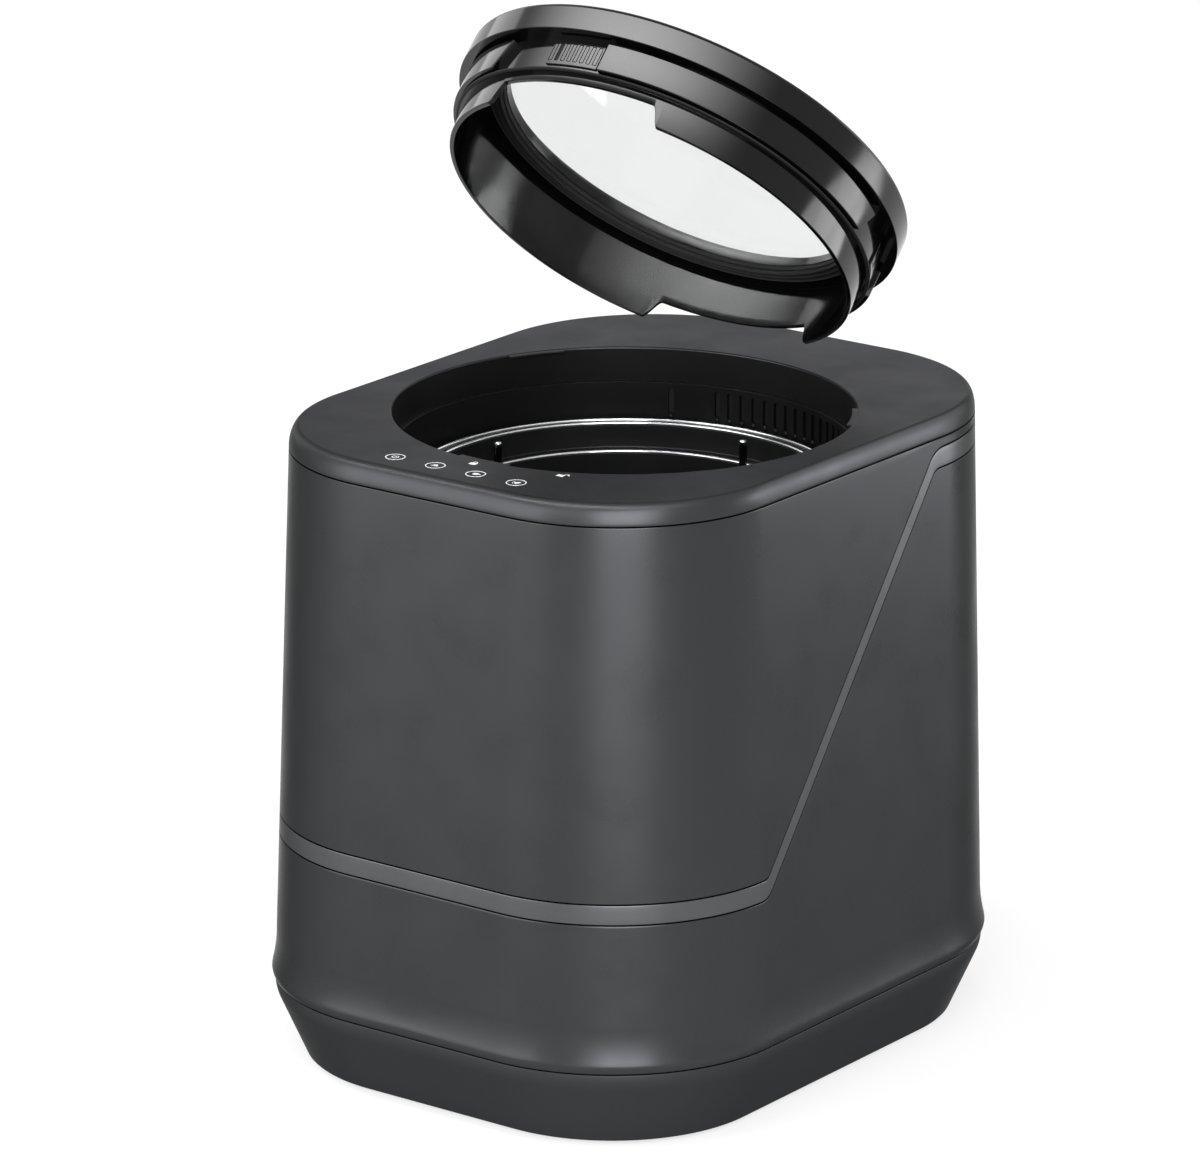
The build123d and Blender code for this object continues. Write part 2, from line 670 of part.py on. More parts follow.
def make_sensor():
    """Temperature sensor clamped to the outside of the chamber above its insulation."""
    level = CHAMBER_BOTTOM + WRAP_FOOT + WRAP_HEIGHT + SENSOR_LIFT
    seat = CHAMBER_RADIUS + CHAMBER_WALL + CONTACT_FIT
    x, y = polar(seat + SENSOR_SIZE[0] / 2, SENSOR_AT)
    body = Pos(x, y, level) * Rot(0, 0, SENSOR_AT) * Box(*SENSOR_SIZE)
    return body - rod(seat, level - SENSOR_SIZE[2], level + SENSOR_SIZE[2])


# ================================================================ bucket
def make_bucket():
    outer = BUCKET_RADIUS + BUCKET_WALL
    neck = NECK_RADIUS + BUCKET_WALL
    floor_ring = BUSH_RADIUS
    boss_top = BUCKET_FOOT + BUSH_BOSS
    profile = [
        (floor_ring, BUCKET_FOOT),
        (outer, BUCKET_FOOT),
        (outer, BUCKET_STEP - BUCKET_WALL),
        (neck, BUCKET_STEP - BUCKET_WALL),
        (neck, BUCKET_RIM - BUCKET_WALL),
        (RIM_RADIUS, BUCKET_RIM - BUCKET_WALL),
        (RIM_RADIUS, BUCKET_RIM),
        (NECK_RADIUS, BUCKET_RIM),
        (NECK_RADIUS, BUCKET_STEP),
        (BUCKET_RADIUS, BUCKET_STEP),
        (BUCKET_RADIUS, BUCKET_INSIDE),
        (floor_ring + BUCKET_WALL, BUCKET_INSIDE),
        (floor_ring + BUCKET_WALL, boss_top),
        (floor_ring, boss_top),
    ]
    bucket = turned(profile)
    hole = PIVOT_RADIUS + PIVOT_CLEARANCE
    bore = Pos(0, AXIS_Y, HANDLE_AXIS_Z) * Rot(0, 90, 0) * Cylinder(hole, 2 * neck + 2)
    return bucket - (bore - rod(NECK_RADIUS - 1, 0, BODY_HEIGHT))


def bead(radius, seat):
    """A rounded bead standing on a flat ring of the bucket."""
    turns = range(0, 181, 45)
    return turned(
        [
            (radius + BEAD_RADIUS * cos(radians(t)), seat + BEAD_RADIUS * sin(radians(t)))
            for t in turns
        ]
    )


def make_posts():
    posts = []
    for k in range(POST_COUNT):
        x, y = polar(POST_CIRCLE, POST_AT + 360 / POST_COUNT * k)
        post = rod(POST_RADIUS, BUCKET_INSIDE, BUCKET_RIM + POST_PROUD, x, y)
        top = post.faces().sort_by(Axis.Z)[-1]
        posts.append(fillet(top.edges(), POST_RADIUS * 0.6))
    return Compound(children=posts)


def handle_bar(radius, start, end, core=0.0):
    """A stretch of the bail's ring, solid or as a sleeve round a core."""
    section = Pos(HANDLE_CIRCLE, HANDLE_AXIS_Z) * Circle(radius)
    if core:
        section -= Pos(HANDLE_CIRCLE, HANDLE_AXIS_Z) * Circle(core)
    ring = revolve(Plane.XZ * section, Axis.Z, end - start)
    return Pos(0, AXIS_Y, 0) * Rot(0, 0, start) * ring


def make_handle():
    """Wire bail folded to the front, with its two ends turned out into the bucket's neck."""
    start = 270 - GRIP_ANGLE / 2
    end = 270 + GRIP_ANGLE / 2
    bail = handle_bar(HANDLE_WIRE, 180, start) + handle_bar(HANDLE_WIRE, end, 360)
    bail += handle_bar(GRIP_CORE, start - 1, end + 1)
    tip = NECK_RADIUS + BUCKET_WALL + 1
    length = tip - HANDLE_CIRCLE
    for side in (-1, 1):
        bail += Pos(side * HANDLE_CIRCLE, AXIS_Y, HANDLE_AXIS_Z) * Sphere(HANDLE_WIRE)
        pin = Pos(side * (tip - length / 2), AXIS_Y, HANDLE_AXIS_Z) * Rot(0, 90, 0)
        bail += pin * Cylinder(PIVOT_RADIUS, length)
    return bail


def make_grip():
    half = GRIP_ANGLE / 2 - 0.2
    return handle_bar(GRIP_RADIUS, 270 - half, 270 + half, GRIP_CORE + GRIP_FIT)


def make_bush():
    top = BUCKET_FOOT + BUSH_BOSS
    return tube(AGITATOR_SHAFT + RUNNING, BUSH_RADIUS, BUCKET_FOOT, top)


# ================================================================ agitator
def hexagon(flats, low, high):
    prism = extrude(RegularPolygon(flats / 2, 6, major_radius=False), high - low)
    return Pos(0, AXIS_Y, low) * prism


def make_agitator_shaft():
    """Shaft through the bucket's floor, with a hexagon socket under it for the drive."""
    socket = rod(SOCKET_RADIUS, SHAFT_FOOT, PLATE_TOP - SOCKET_GAP)
    shaft = rod(AGITATOR_SHAFT, PLATE_TOP - SHAFT_LIFT, HUB_FOOT + HUB_HEIGHT)
    bore = hexagon(DOG_FLATS + 2 * DOG_CLEARANCE, SHAFT_FOOT - 1, PLATE_TOP - 1)
    return socket - bore + shaft


def make_shaft_seal():
    return tube(AGITATOR_SHAFT + RUNNING, BUSH_RADIUS, SEAL_FOOT, SEAL_FOOT + SEAL_THICKNESS)


def make_arms():
    """Hub with three swept arms, each ending in an upright blade."""
    hub = tube(AGITATOR_SHAFT, HUB_RADIUS, HUB_FOOT, HUB_FOOT + HUB_HEIGHT - CAP_HEIGHT)
    for k, level in enumerate(ARM_LEVELS):
        arm = block(
            (0, ARM_REACH),
            (-ARM_WIDTH / 2, ARM_WIDTH / 2),
            (level, level + ARM_THICKNESS),
        )
        blade = block(
            (ARM_REACH - BLADE_THICKNESS, ARM_REACH),
            (-ARM_WIDTH / 2, ARM_WIDTH / 2),
            (level, level + BLADE_HEIGHT),
        )
        arm = fillet((arm + blade).edges().filter_by(Axis.Y), ARM_EDGE)
        turn = ARM_START + 360 / len(ARM_LEVELS) * k
        arm = Pos(0, AXIS_Y, 0) * Rot(0, 0, turn) * arm
        hub += arm - rod(HUB_RADIUS - 1, level - 1, level + BLADE_HEIGHT + 1)
    return hub


def make_agitator_cap():
    low = HUB_FOOT + HUB_HEIGHT - CAP_HEIGHT
    cap = rod(HUB_RADIUS, low, low + CAP_HEIGHT + CAP_TOP)
    cap -= rod(AGITATOR_SHAFT + CAP_FIT, low - 1, low + CAP_HEIGHT + CAP_FIT)
    return fillet(cap.edges().sort_by(Axis.Z)[-1], 0.9 * CAP_TOP)


# ================================================================ drive
def gear(teeth, bore, tooth_up, y):
    """Spur gear with straight-sided teeth; tooth_up puts a tooth, not a gap, towards +Y."""
    pitch = MODULE * teeth / 2
    step = 360 / teeth
    share = TOOTH_SHARE * step / 2
    slope = degrees(MODULE * tan(radians(PRESSURE_ANGLE)) / pitch)
    root = (pitch - ROOT_SHARE * MODULE, share + FLANK_ROOT * slope)
    tip = (pitch + TIP_SHARE * MODULE, share - FLANK_TIP * slope)
    start = 90 if tooth_up else 90 + step / 2
    points = []
    for k in range(teeth):
        middle = start + step * k
        points += [(radius, middle - half) for radius, half in (root, tip)]
        points += [(radius, middle + half) for radius, half in (tip, root)]
    rim = Polygon(*[polar(radius, angle, 0) for radius, angle in points], align=None)
    blank = extrude(rim, GEAR_WIDTH) - Pos(0, 0, GEAR_WIDTH / 2) * Cylinder(bore, GEAR_WIDTH)
    return Pos(0, y, GEAR_BOTTOM) * blank


def gearbox_face(inward):
    """Plan of the gearbox: the hull of circles round the three gears."""
    play = MODULE + GEARBOX_PLAY + GEARBOX_WALL - inward
    rings = [
        Pos(0, AXIS_Y) * Circle(OUTPUT_PITCH + play),
        Pos(0, IDLER_Y) * Circle(IDLER_PITCH + play),
        Pos(0, MOTOR_Y) * Circle(PINION_PITCH + play),
    ]
    return make_hull([ring.edge() for ring in rings])


def gearbox_posts():
    """Four fixing points, on ears beside the gearbox."""
    out = OUTPUT_PITCH + EAR_OUT
    side = IDLER_PITCH + EAR_SIDE
    back = IDLER_Y + EAR_BACK
    return [(-out, AXIS_Y), (out, AXIS_Y), (-side, back), (side, back)]


def gearbox_ears(low, high):
    ears = []
    for x, y in gearbox_posts():
        reach = EAR_REACH if x > 0 else -EAR_REACH
        ear = rod(PILLAR_RADIUS, low, high, x, y)
        web = block(sorted((x, x - reach)), (y - PILLAR_RADIUS, y + PILLAR_RADIUS), (low, high))
        ears.append(ear + web)
    return ears


def make_gearbox():
    """Cup round the gears, with a boss under each and four ears to screw it down."""
    height = GEARBOX_TOP - GEARBOX_BOTTOM
    cup = extrude(Pos(0, 0, GEARBOX_BOTTOM) * gearbox_face(0), height)
    hollow = Pos(0, 0, GEARBOX_BOTTOM + GEARBOX_WALL) * gearbox_face(GEARBOX_WALL)
    cup = joined([cup] + gearbox_ears(GEARBOX_BOTTOM, EAR_TOP))
    cup -= extrude(hollow, height)
    floor = GEARBOX_BOTTOM + GEARBOX_WALL
    bosses = [
        (AXIS_Y, OUTPUT_SHAFT, OUTPUT_BOSS, RUNNING),
        (IDLER_Y, IDLER_PIN, BOSS_WALL, PIN_FIT),
        (MOTOR_Y, MOTOR_SHAFT, BOSS_WALL, RUNNING),
    ]
    for y, radius, boss, play in bosses:
        cup += rod(radius + boss, floor - 1, GEAR_BOTTOM - GEAR_LIFT, 0, y)
        cup -= rod(radius + play, GEARBOX_BOTTOM + 1, GEAR_BOTTOM, 0, y)
    for x, y in gearbox_posts():
        cup -= rod(SCREW_RADIUS + SCREW_CLEARANCE, 0, GEARBOX_TOP, x, y)
    return cup


def make_gearbox_cover():
    plate = extrude(Pos(0, 0, GEARBOX_TOP) * gearbox_face(0), GEARBOX_COVER)
    plate += rod(BEARING_RADIUS + BOSS_WALL, GEARBOX_LID - 1, GEARBOX_LID + BEARING_WIDTH)
    plate -= rod(BEARING_RADIUS, GEARBOX_LID, GEARBOX_LID + BEARING_WIDTH + 1)
    plate -= rod(OUTPUT_SHAFT + COVER_HOLE, GEARBOX_TOP - 1, GEARBOX_LID + 1)
    plate -= rod(IDLER_PIN + PIN_FIT, GEARBOX_TOP - 1, GEARBOX_LID + 1, 0, IDLER_Y)
    plate -= rod(MOTOR_SHAFT + COVER_HOLE, GEARBOX_TOP - 1, GEARBOX_LID + 1, 0, MOTOR_Y)
    return plate


def make_gearbox_screws():
    return Compound(children=[screw(x, y, EAR_TOP, EAR_SCREW) for x, y in gearbox_posts()])


def make_bearing():
    high = GEARBOX_LID + BEARING_WIDTH
    ring = tube(OUTPUT_SHAFT + RUNNING, BEARING_RADIUS, GEARBOX_LID, high)
    return ring - tube(*BEARING_GROOVE, high - GROOVE_DEPTH, high + 1)


def make_output_shaft():
    top = SHAFT_FOOT - DOG_DROP
    shaft = rod(OUTPUT_SHAFT, GEARBOX_BOTTOM + 1 + SHAFT_LIFT, top) - gear_key(KEY_PLAY)
    return shaft + hexagon(DOG_FLATS, top, top + DOG_HEIGHT)


def gear_key(play=0.0):
    """Key that turns the large gear with its shaft, or its seat with some play."""
    middle = GEAR_BOTTOM + GEAR_WIDTH / 2
    side = KEY_SIZE + play
    return Pos(0, AXIS_Y + OUTPUT_SHAFT, middle) * Box(side, side, GEAR_WIDTH)


def make_output_gear():
    blank = gear(OUTPUT_TEETH, OUTPUT_SHAFT, True, AXIS_Y)
    for k in range(WEB_HOLES):
        x, y = polar((OUTPUT_SHAFT + OUTPUT_PITCH) / 2, 360 / WEB_HOLES * k)
        blank -= rod(WEB_HOLE, GEAR_BOTTOM - 1, GEAR_BOTTOM + GEAR_WIDTH + 1, x, y)
    return blank + gear_key()


def make_idler_pin():
    return rod(IDLER_PIN, GEARBOX_BOTTOM + 1, GEARBOX_LID, 0, IDLER_Y)


def make_motor():
    """Motor can on the gearbox cover, open only at its shaft."""
    high = GEARBOX_LID + MOTOR_LENGTH
    can = rod(MOTOR_RADIUS, GEARBOX_LID, high, 0, MOTOR_Y)
    can = fillet(can.edges().sort_by(Axis.Z)[-1], MOTOR_CORNER)
    room = MOTOR_RADIUS - MOTOR_WALL
    can -= rod(room, GEARBOX_LID + MOTOR_END, high - MOTOR_END, 0, MOTOR_Y)
    can -= rod(MOTOR_SHAFT + MOTOR_BUSH, GEARBOX_LID - 1, GEARBOX_LID + MOTOR_END + 1, 0, MOTOR_Y)
    bush = (MOTOR_SHAFT + RUNNING, MOTOR_SHAFT + MOTOR_BUSH)
    return can + tube(*bush, GEARBOX_LID, GEARBOX_LID + MOTOR_BUSH_HEIGHT, 0, MOTOR_Y)


def make_rotor():
    """Armature inside the can."""
    low = GEARBOX_LID + ROTOR_LOW
    high = GEARBOX_LID + MOTOR_LENGTH - ROTOR_HIGH
    return tube(MOTOR_SHAFT, MOTOR_RADIUS - ROTOR_GAP, low, high, 0, MOTOR_Y)


def make_motor_shaft():
    high = GEARBOX_LID + MOTOR_LENGTH - 2 * MOTOR_END
    return rod(MOTOR_SHAFT, GEARBOX_BOTTOM + 1 + SHAFT_LIFT, high, 0, MOTOR_Y)


# ================================================================ exhaust
def drawer_span(play=0.0):
    return (-FILTER_WIDTH / 2 - play, FILTER_WIDTH / 2 + play)


def drawer_hole():
    return block(drawer_span(), (FILTER_FRONT, BODY_DEPTH), (FILTER_BOTTOM, FILTER_TOP))


def make_filter_housing():
    """Open-backed case that the filter drawer slides into."""
    wall = FILTER_WALL
    z_span = (FILTER_BOTTOM - wall, FILTER_TOP + wall)
    case = block(drawer_span(wall), (FILTER_FRONT, HALF_DEPTH), z_span)
    case &= body_block(*z_span, WALL + CASE_GAP)
    case -= block(
        drawer_span(), (FILTER_FRONT + wall, BODY_DEPTH), (FILTER_BOTTOM, FILTER_TOP)
    )
    case -= block(CASE_MOUTH[0], (FILTER_FRONT - 1, FILTER_FRONT + wall + 1), CASE_MOUTH[1])
    outlet_x = (-CASE_OUTLET / 2, CASE_OUTLET / 2)
    outlet_y = (FILTER_FRONT + OUTLET_MARGIN, drawer_depth() - OUTLET_MARGIN)
    return case - block(outlet_x, outlet_y, (FILTER_BOTTOM - wall - 1, FILTER_BOTTOM + 1))


def make_filter_cover():
    """Rear face of the drawer, flush with the shell, with a finger recess."""
    z_span = (FILTER_BOTTOM + FILTER_PLAY, FILTER_TOP - FILTER_PLAY)
    face = block(drawer_span(-FILTER_PLAY), (FILTER_FRONT + COVER_REACH, BODY_DEPTH), z_span)
    skin = body_block(FILTER_BOTTOM, FILTER_TOP) - body_block(FILTER_BOTTOM, FILTER_TOP, 2 * WALL)
    at = Pos(0, HALF_DEPTH - REAR_TAPER + SCOOP_OUT, (FILTER_BOTTOM + FILTER_TOP) / 2 + SCOOP_UP)
    return (skin & face) - at * Rot(0, 90, 0) * Cylinder(SCOOP_RADIUS, SCOOP_LENGTH)


def drawer_depth():
    """Inner face of the drawer's cover at its narrowest, near the top."""
    return HALF_DEPTH - insets(FILTER_TOP)[2] - 2 * WALL


def make_filter_tray():
    back = drawer_depth()
    front = FILTER_FRONT + FILTER_WALL + FILTER_PLAY
    low = FILTER_BOTTOM + FILTER_PLAY
    tray = block(drawer_span(-FILTER_PLAY), (front, back), (low, low + FILTER_WALL))
    for k in range(TRAY_HOLES):
        x = TRAY_PITCH * (k - (TRAY_HOLES - 1) / 2)
        x_span = (x - TRAY_HOLE / 2, x + TRAY_HOLE / 2)
        y_span = (front + TRAY_MARGIN, back - TRAY_MARGIN)
        tray -= block(x_span, y_span, (low - 1, low + FILTER_WALL + 1))
    edge = FILTER_WIDTH / 2 - FILTER_PLAY
    for side in (-1, 1):
        x_span = sorted((side * edge, side * (edge - FILTER_WALL)))
        tray += block(x_span, (front, back), (low, low + TRAY_SIDE))
    return tray


def make_cartridge():
    """Carbon block standing in the tray, between its sides."""
    front = FILTER_FRONT + FILTER_WALL + FILTER_PLAY
    low = FILTER_BOTTOM + FILTER_PLAY + FILTER_WALL
    box = block(
        drawer_span(-2 * FILTER_PLAY - FILTER_WALL),
        (front, drawer_depth() - CONTACT_FIT),
        (low, FILTER_TOP - 3 * FILTER_PLAY),
    )
    return fillet(box.edges().filter_by(Axis.Z), CARTRIDGE_CORNER)


def make_duct():
    """Shallow duct behind the chamber's vent slots, to the filter."""
    inner = CHAMBER_RADIUS + CHAMBER_WALL + CONTACT_FIT
    outer = inner + DUCT_DEPTH
    top = LEDGE - CHAMBER_WALL - CONTACT_FIT
    low = LEDGE - VENT_DROP - VENT_HEIGHT - DUCT_MARGIN
    start = VENT_FROM - DUCT_MARGIN
    end = VENT_LONE + DUCT_MARGIN
    duct = sector(inner, outer, low, top, start, end)
    hollow = (inner - 1, outer - DUCT_WALL, low + DUCT_WALL, top - DUCT_WALL)
    duct -= sector(*hollow, start + DUCT_WALL / 2, end - DUCT_WALL / 2)
    mouth = (-DUCT_MOUTH / 2, DUCT_MOUTH / 2)
    return duct - block(mouth, (AXIS_Y, FILTER_FRONT), (low - 1, low + DUCT_WALL + 1))


def grille_hole():
    x = GRILLE_WIDTH / 2
    return block((-x, x), (FILTER_FRONT, BODY_DEPTH), (GRILLE_BOTTOM, GRILLE_TOP))


def make_grille():
    """Slotted panel in the rear of the shell, in front of the fan."""
    x = GRILLE_WIDTH / 2 - GRILLE_PLAY
    low = GRILLE_BOTTOM + GRILLE_PLAY
    high = GRILLE_TOP - GRILLE_PLAY
    back = GRILLE_SINK + GRILLE_THICKNESS
    skin = body_block(GRILLE_BOTTOM, GRILLE_TOP, GRILLE_SINK)
    skin -= body_block(GRILLE_BOTTOM, GRILLE_TOP, back)
    grille = skin & block((-x, x), (FILTER_FRONT, BODY_DEPTH), (low, high))
    pitch = (high - low) / (GRILLE_BARS + 1)
    slot_x = (-x + GRILLE_EDGE, x - GRILLE_EDGE)
    for k in range(1, GRILLE_BARS + 1):
        slot_z = (low + pitch * k - GRILLE_SLOT / 2, low + pitch * k + GRILLE_SLOT / 2)
        grille -= block(slot_x, (FILTER_FRONT, BODY_DEPTH), slot_z)
    return grille


def fan_rear():
    """The fan case's rear face, against the inside of the grille at its top."""
    return HALF_DEPTH - insets(GRILLE_TOP)[2] - GRILLE_SINK - GRILLE_THICKNESS


def fan_disc(radius, front, rear):
    """Cylinder on the fan's axis between two places along Y."""
    return Pos(0, (front + rear) / 2, FAN_Z) * Rot(90, 0, 0) * Cylinder(radius, rear - front)


def make_fan_frame():
    """Square fan case against the grille, with the impeller's seat on four struts."""
    half = FAN_SIZE / 2
    rear = fan_rear()
    front = rear - FAN_DEPTH
    case = block((-half, half), (front, rear), (FAN_Z - half, FAN_Z + half))
    case = fillet(case.edges().filter_by(Axis.Y), FAN_CORNER)
    case -= fan_disc(FAN_BORE, front, rear)
    strut = (front, front + FAN_SEAT)
    long = (-FAN_BORE, FAN_BORE)
    across = (-FAN_STRUT / 2, FAN_STRUT / 2)
    case += block(long, strut, (FAN_Z + across[0], FAN_Z + across[1]))
    case += block(across, strut, (FAN_Z + long[0], FAN_Z + long[1]))
    case += fan_disc(FAN_HUB, front, front + FAN_SEAT)
    return case + fan_disc(FAN_PIN, front + FAN_SEAT, front + FAN_SEAT + FAN_PIN_LENGTH)


def make_impeller():
    """Hub with pitched blades, running on the pin of the fan's seat."""
    rear = fan_rear() - FAN_END_GAP
    length = FAN_DEPTH - 2 * FAN_SEAT
    hub = fan_disc(FAN_HUB, rear - length, rear)
    reach = FAN_BORE - FAN_TIP_GAP
    inner = FAN_HUB - 1
    for k in range(FAN_BLADES):
        blade = Rot(90, 0, 0) * Pos((inner + reach) / 2, 0, 0) * Rot(FAN_PITCH, 0, 0)
        blade *= Box(reach - inner, FAN_BLADE, length * 1.1)
        hub += Pos(0, rear - length / 2, FAN_Z) * Rot(0, 360 / FAN_BLADES * k, 0) * blade
    return hub - fan_disc(FAN_PIN + RUNNING, rear - length - 1, rear - FAN_SEAT)


# ================================================================ electrics
def inlet_hole():
    x = INLET_WIDTH / 2
    z = INLET_HEIGHT / 2
    return block((INLET_X - x, INLET_X + x), (120, BODY_DEPTH), (INLET_Z - z, INLET_Z + z))


def inlet_room():
    x = INLET_WIDTH / 2 + 2
    low = BODY_DEPTH / 2 - FLARE - INLET_DEPTH - 6
    return block((INLET_X - x, INLET_X + x), (low, BODY_DEPTH), (FRAME_LEVEL - 1, CHAMBER_BOTTOM + 1))


def make_inlet():
    """Two-pin appliance inlet, let into the lower shell from behind."""
    x = INLET_WIDTH / 2 - INLET_FIT
    z = INLET_HEIGHT / 2 - INLET_FIT
    rear = HALF_DEPTH - FLARE
    x_span = (INLET_X - x, INLET_X + x)
    box = block(x_span, (rear - INLET_DEPTH, rear), (INLET_Z - z, INLET_Z + z))
    box = fillet(box.edges().filter_by(Axis.Y), INLET_CORNER)
    x -= INLET_WALL
    z -= INLET_WALL
    y_span = (rear - INLET_DEPTH + INLET_FLOOR, rear + 1)
    well = block((INLET_X - x, INLET_X + x), y_span, (INLET_Z - z, INLET_Z + z))
    return box - fillet(well.edges().filter_by(Axis.Y), 1.5 * INLET_CORNER)


def make_inlet_pins():
    foot = HALF_DEPTH - FLARE - INLET_DEPTH + INLET_FLOOR
    pins = []
    for side in (-1, 1):
        at = Pos(INLET_X + side * PIN_SPREAD, foot + PIN_LENGTH / 2, INLET_Z)
        pins.append(at * Rot(90, 0, 0) * Cylinder(PIN_RADIUS, PIN_LENGTH))
    return Compound(children=pins)


def make_main_board():
    low = FOOT_HEIGHT + FLOOR_THICKNESS + BOARD_LIFT
    board = block((-BOARD_X / 2, BOARD_X / 2), BOARD_Y, (low, low + BOARD_THICKNESS))
    return fillet(board.edges().filter_by(Axis.Z), BOARD_CORNER)


def make_board_parts():
    """Transformer, two capacitors, a relay and a terminal block, along the board."""
    low = FOOT_HEIGHT + FLOOR_THICKNESS + BOARD_LIFT + BOARD_THICKNESS
    middle = sum(BOARD_Y) / 2
    width = BOARD_X / 4
    coil, can, relay, terminals = [low + height for height in PART_HEIGHTS]
    edge = BOARD_X / 2 - 2 * BOARD_CORNER
    spread = 1.6 * CAPACITOR_RADIUS
    cans = [rod(CAPACITOR_RADIUS, low, can, -width / 4, middle + y) for y in (-spread, spread)]
    return Compound(
        children=cans
        + [
            block((-edge, width - edge), (middle - width / 2, middle + width / 2), (low, coil)),
            block((width / 4, width), (middle - width / 4, middle + width / 4), (low, relay)),
            block((edge - width / 2, edge), (middle - width / 2, middle + width / 2), (low, terminals)),
        ]
    )


def touch_board_top():
    return BODY_HEIGHT - WALL - TOUCH_SPRING


def make_touch_board():
    x = TOUCH_BOARD_X / 2
    top = touch_board_top()
    board = block((-x, x), TOUCH_BOARD_Y, (top - BOARD_THICKNESS, top))
    return fillet(board.edges().filter_by(Axis.Z), BOARD_CORNER)


def make_touch_springs():
    """Contact springs between the touch board and the underside of the cover."""
    top = touch_board_top()
    springs = []
    for x in TOUCH_X:
        springs.append(tube(SPRING_INSIDE, SPRING_OUTSIDE, top, BODY_HEIGHT - WALL, x, TOUCH_Y))
    return Compound(children=springs)


def make_touch_marks():
    """Printed rings over the touch points, and the two lock marks beside the opening."""
    marks = []
    high = BODY_HEIGHT + MARK_HEIGHT
    for x in TOUCH_X:
        marks.append(tube(TOUCH_RING - MARK_LINE, TOUCH_RING, BODY_HEIGHT, high, x, TOUCH_Y))
    for angle in (LUG_AT, LUG_AT + LOCK_TURN):
        x, y = polar(LOCK_CIRCLE, angle)
        x_span = (x - LOCK_BODY / 2, x + LOCK_BODY / 2)
        body = block(x_span, (y - LOCK_HEIGHT, y), (BODY_HEIGHT, high))
        shackle = tube(SHACKLE_INSIDE, SHACKLE_OUTSIDE, BODY_HEIGHT, high, x, y)
        shackle -= block(x_span, (y - LOCK_HEIGHT, y), (BODY_HEIGHT - 1, high + 1))
        marks.append(body + shackle)
    return Compound(children=marks)


# ================================================================ lid
def raised(shape):
    """From the closed place to the raised one."""
    return shape.rotate(LID_AXIS, LID_RAISE)


def depth(h):
    """Height of a point h below the top of the closed lid."""
    return LID_TOP - h


def make_band():
    inner = COLLAR_RADIUS + 0.05
    low = depth(BAND_HEIGHT)
    ring = tube(inner, BAND_RADIUS, low, LID_TOP)
    edges = ring.edges().filter_by(GeomType.CIRCLE).sort_by(Axis.Z)
    outer = [e for e in edges if e.radius > BAND_RADIUS - 1]
    ring = fillet(outer[-1], BAND_ROUND)
    low_edges = [e for e in ring.edges().filter_by(GeomType.CIRCLE) if e.radius > BAND_RADIUS - 1]
    return fillet(ShapeList(low_edges).sort_by(Axis.Z)[0], BAND_ROUND / 3)


def make_collar():
    """Sleeve of the turning ring: pads that lock under the lugs, and a two-level skirt."""
    collar = turned(
        [
            (COLLAR_INSIDE, depth(COLLAR_HEIGHT)),
            (SKIRT_RADIUS, depth(COLLAR_HEIGHT)),
            (SKIRT_RADIUS, depth(SKIRT_TOP)),
            (COLLAR_RADIUS, depth(SKIRT_TOP)),
            (COLLAR_RADIUS, depth(SEAL_TOP + SEAL_HEIGHT)),
            (SEAL_SEAT, depth(SEAL_TOP + SEAL_HEIGHT)),
            (SEAL_SEAT, depth(SEAL_TOP)),
            (COLLAR_RADIUS, depth(SEAL_TOP)),
            (COLLAR_RADIUS, depth(0.6)),
            (COLLAR_INSIDE, depth(0.6)),
        ]
    )
    for half in (0, 180):
        start = SKIRT_SHORT_TO + half
        end = SKIRT_SHORT_FROM + 180 + half
        low = depth(SKIRT_HEIGHT)
        skirt = sector(COLLAR_INSIDE, SKIRT_RADIUS, low, depth(COLLAR_HEIGHT), start, end)
        collar += skirt
    for k in range(LUG_COUNT):
        turn = 360 / LUG_COUNT * k
        pad = sector(
            COLLAR_RADIUS - 0.5, PAD_RADIUS, depth(PAD_BOTTOM), depth(PAD_TOP),
            PAD_FROM + turn, PAD_TO + turn,
        )
        x, y = polar(PAD_RADIUS, PAD_TO + turn)
        knife = Pos(x, y, depth(PAD_TOP)) * Rot(0, 0, PAD_TO + turn) * Rot(-PAD_SLANT, 0, 0)
        pad -= knife * (Pos(0, 15, 0) * Box(30, 30, 60))
        collar += pad
    return collar


def make_vent_plates():
    """Three small slotted plates in the recesses between the pads."""
    plates = []
    for k in range(LUG_COUNT):
        end = PAD_FROM - 1 + 360 / LUG_COUNT * k
        start = end - VENT_PLATE_ANGLE
        plate = sector(
            COLLAR_RADIUS + 0.05, VENT_PLATE_RADIUS,
            depth(VENT_PLATE_BOTTOM), depth(VENT_PLATE_TOP), start, end,
        )
        pitch = VENT_PLATE_ANGLE / PLATE_SLOTS
        middle = (depth(VENT_PLATE_BOTTOM) + depth(VENT_PLATE_TOP)) / 2
        for slot in range(PLATE_SLOTS):
            angle = start + pitch * (slot + 0.5)
            x, y = polar(VENT_PLATE_RADIUS, angle)
            plate -= Pos(x, y, middle) * Rot(0, 0, angle) * Box(1.0, 1.6, 9.5)
        plates.append(plate)
    return plates


def make_seal():
    return turned(
        [
            (SEAL_SEAT + 0.05, depth(SEAL_TOP + SEAL_HEIGHT) + 0.1),
            (SEAL_RADIUS, depth(SEAL_TOP + SEAL_HEIGHT) + 0.3),
            (SEAL_RADIUS, depth(SEAL_TOP) - 0.3),
            (SEAL_SEAT + 0.05, depth(SEAL_TOP) - 0.1),
        ]
    )


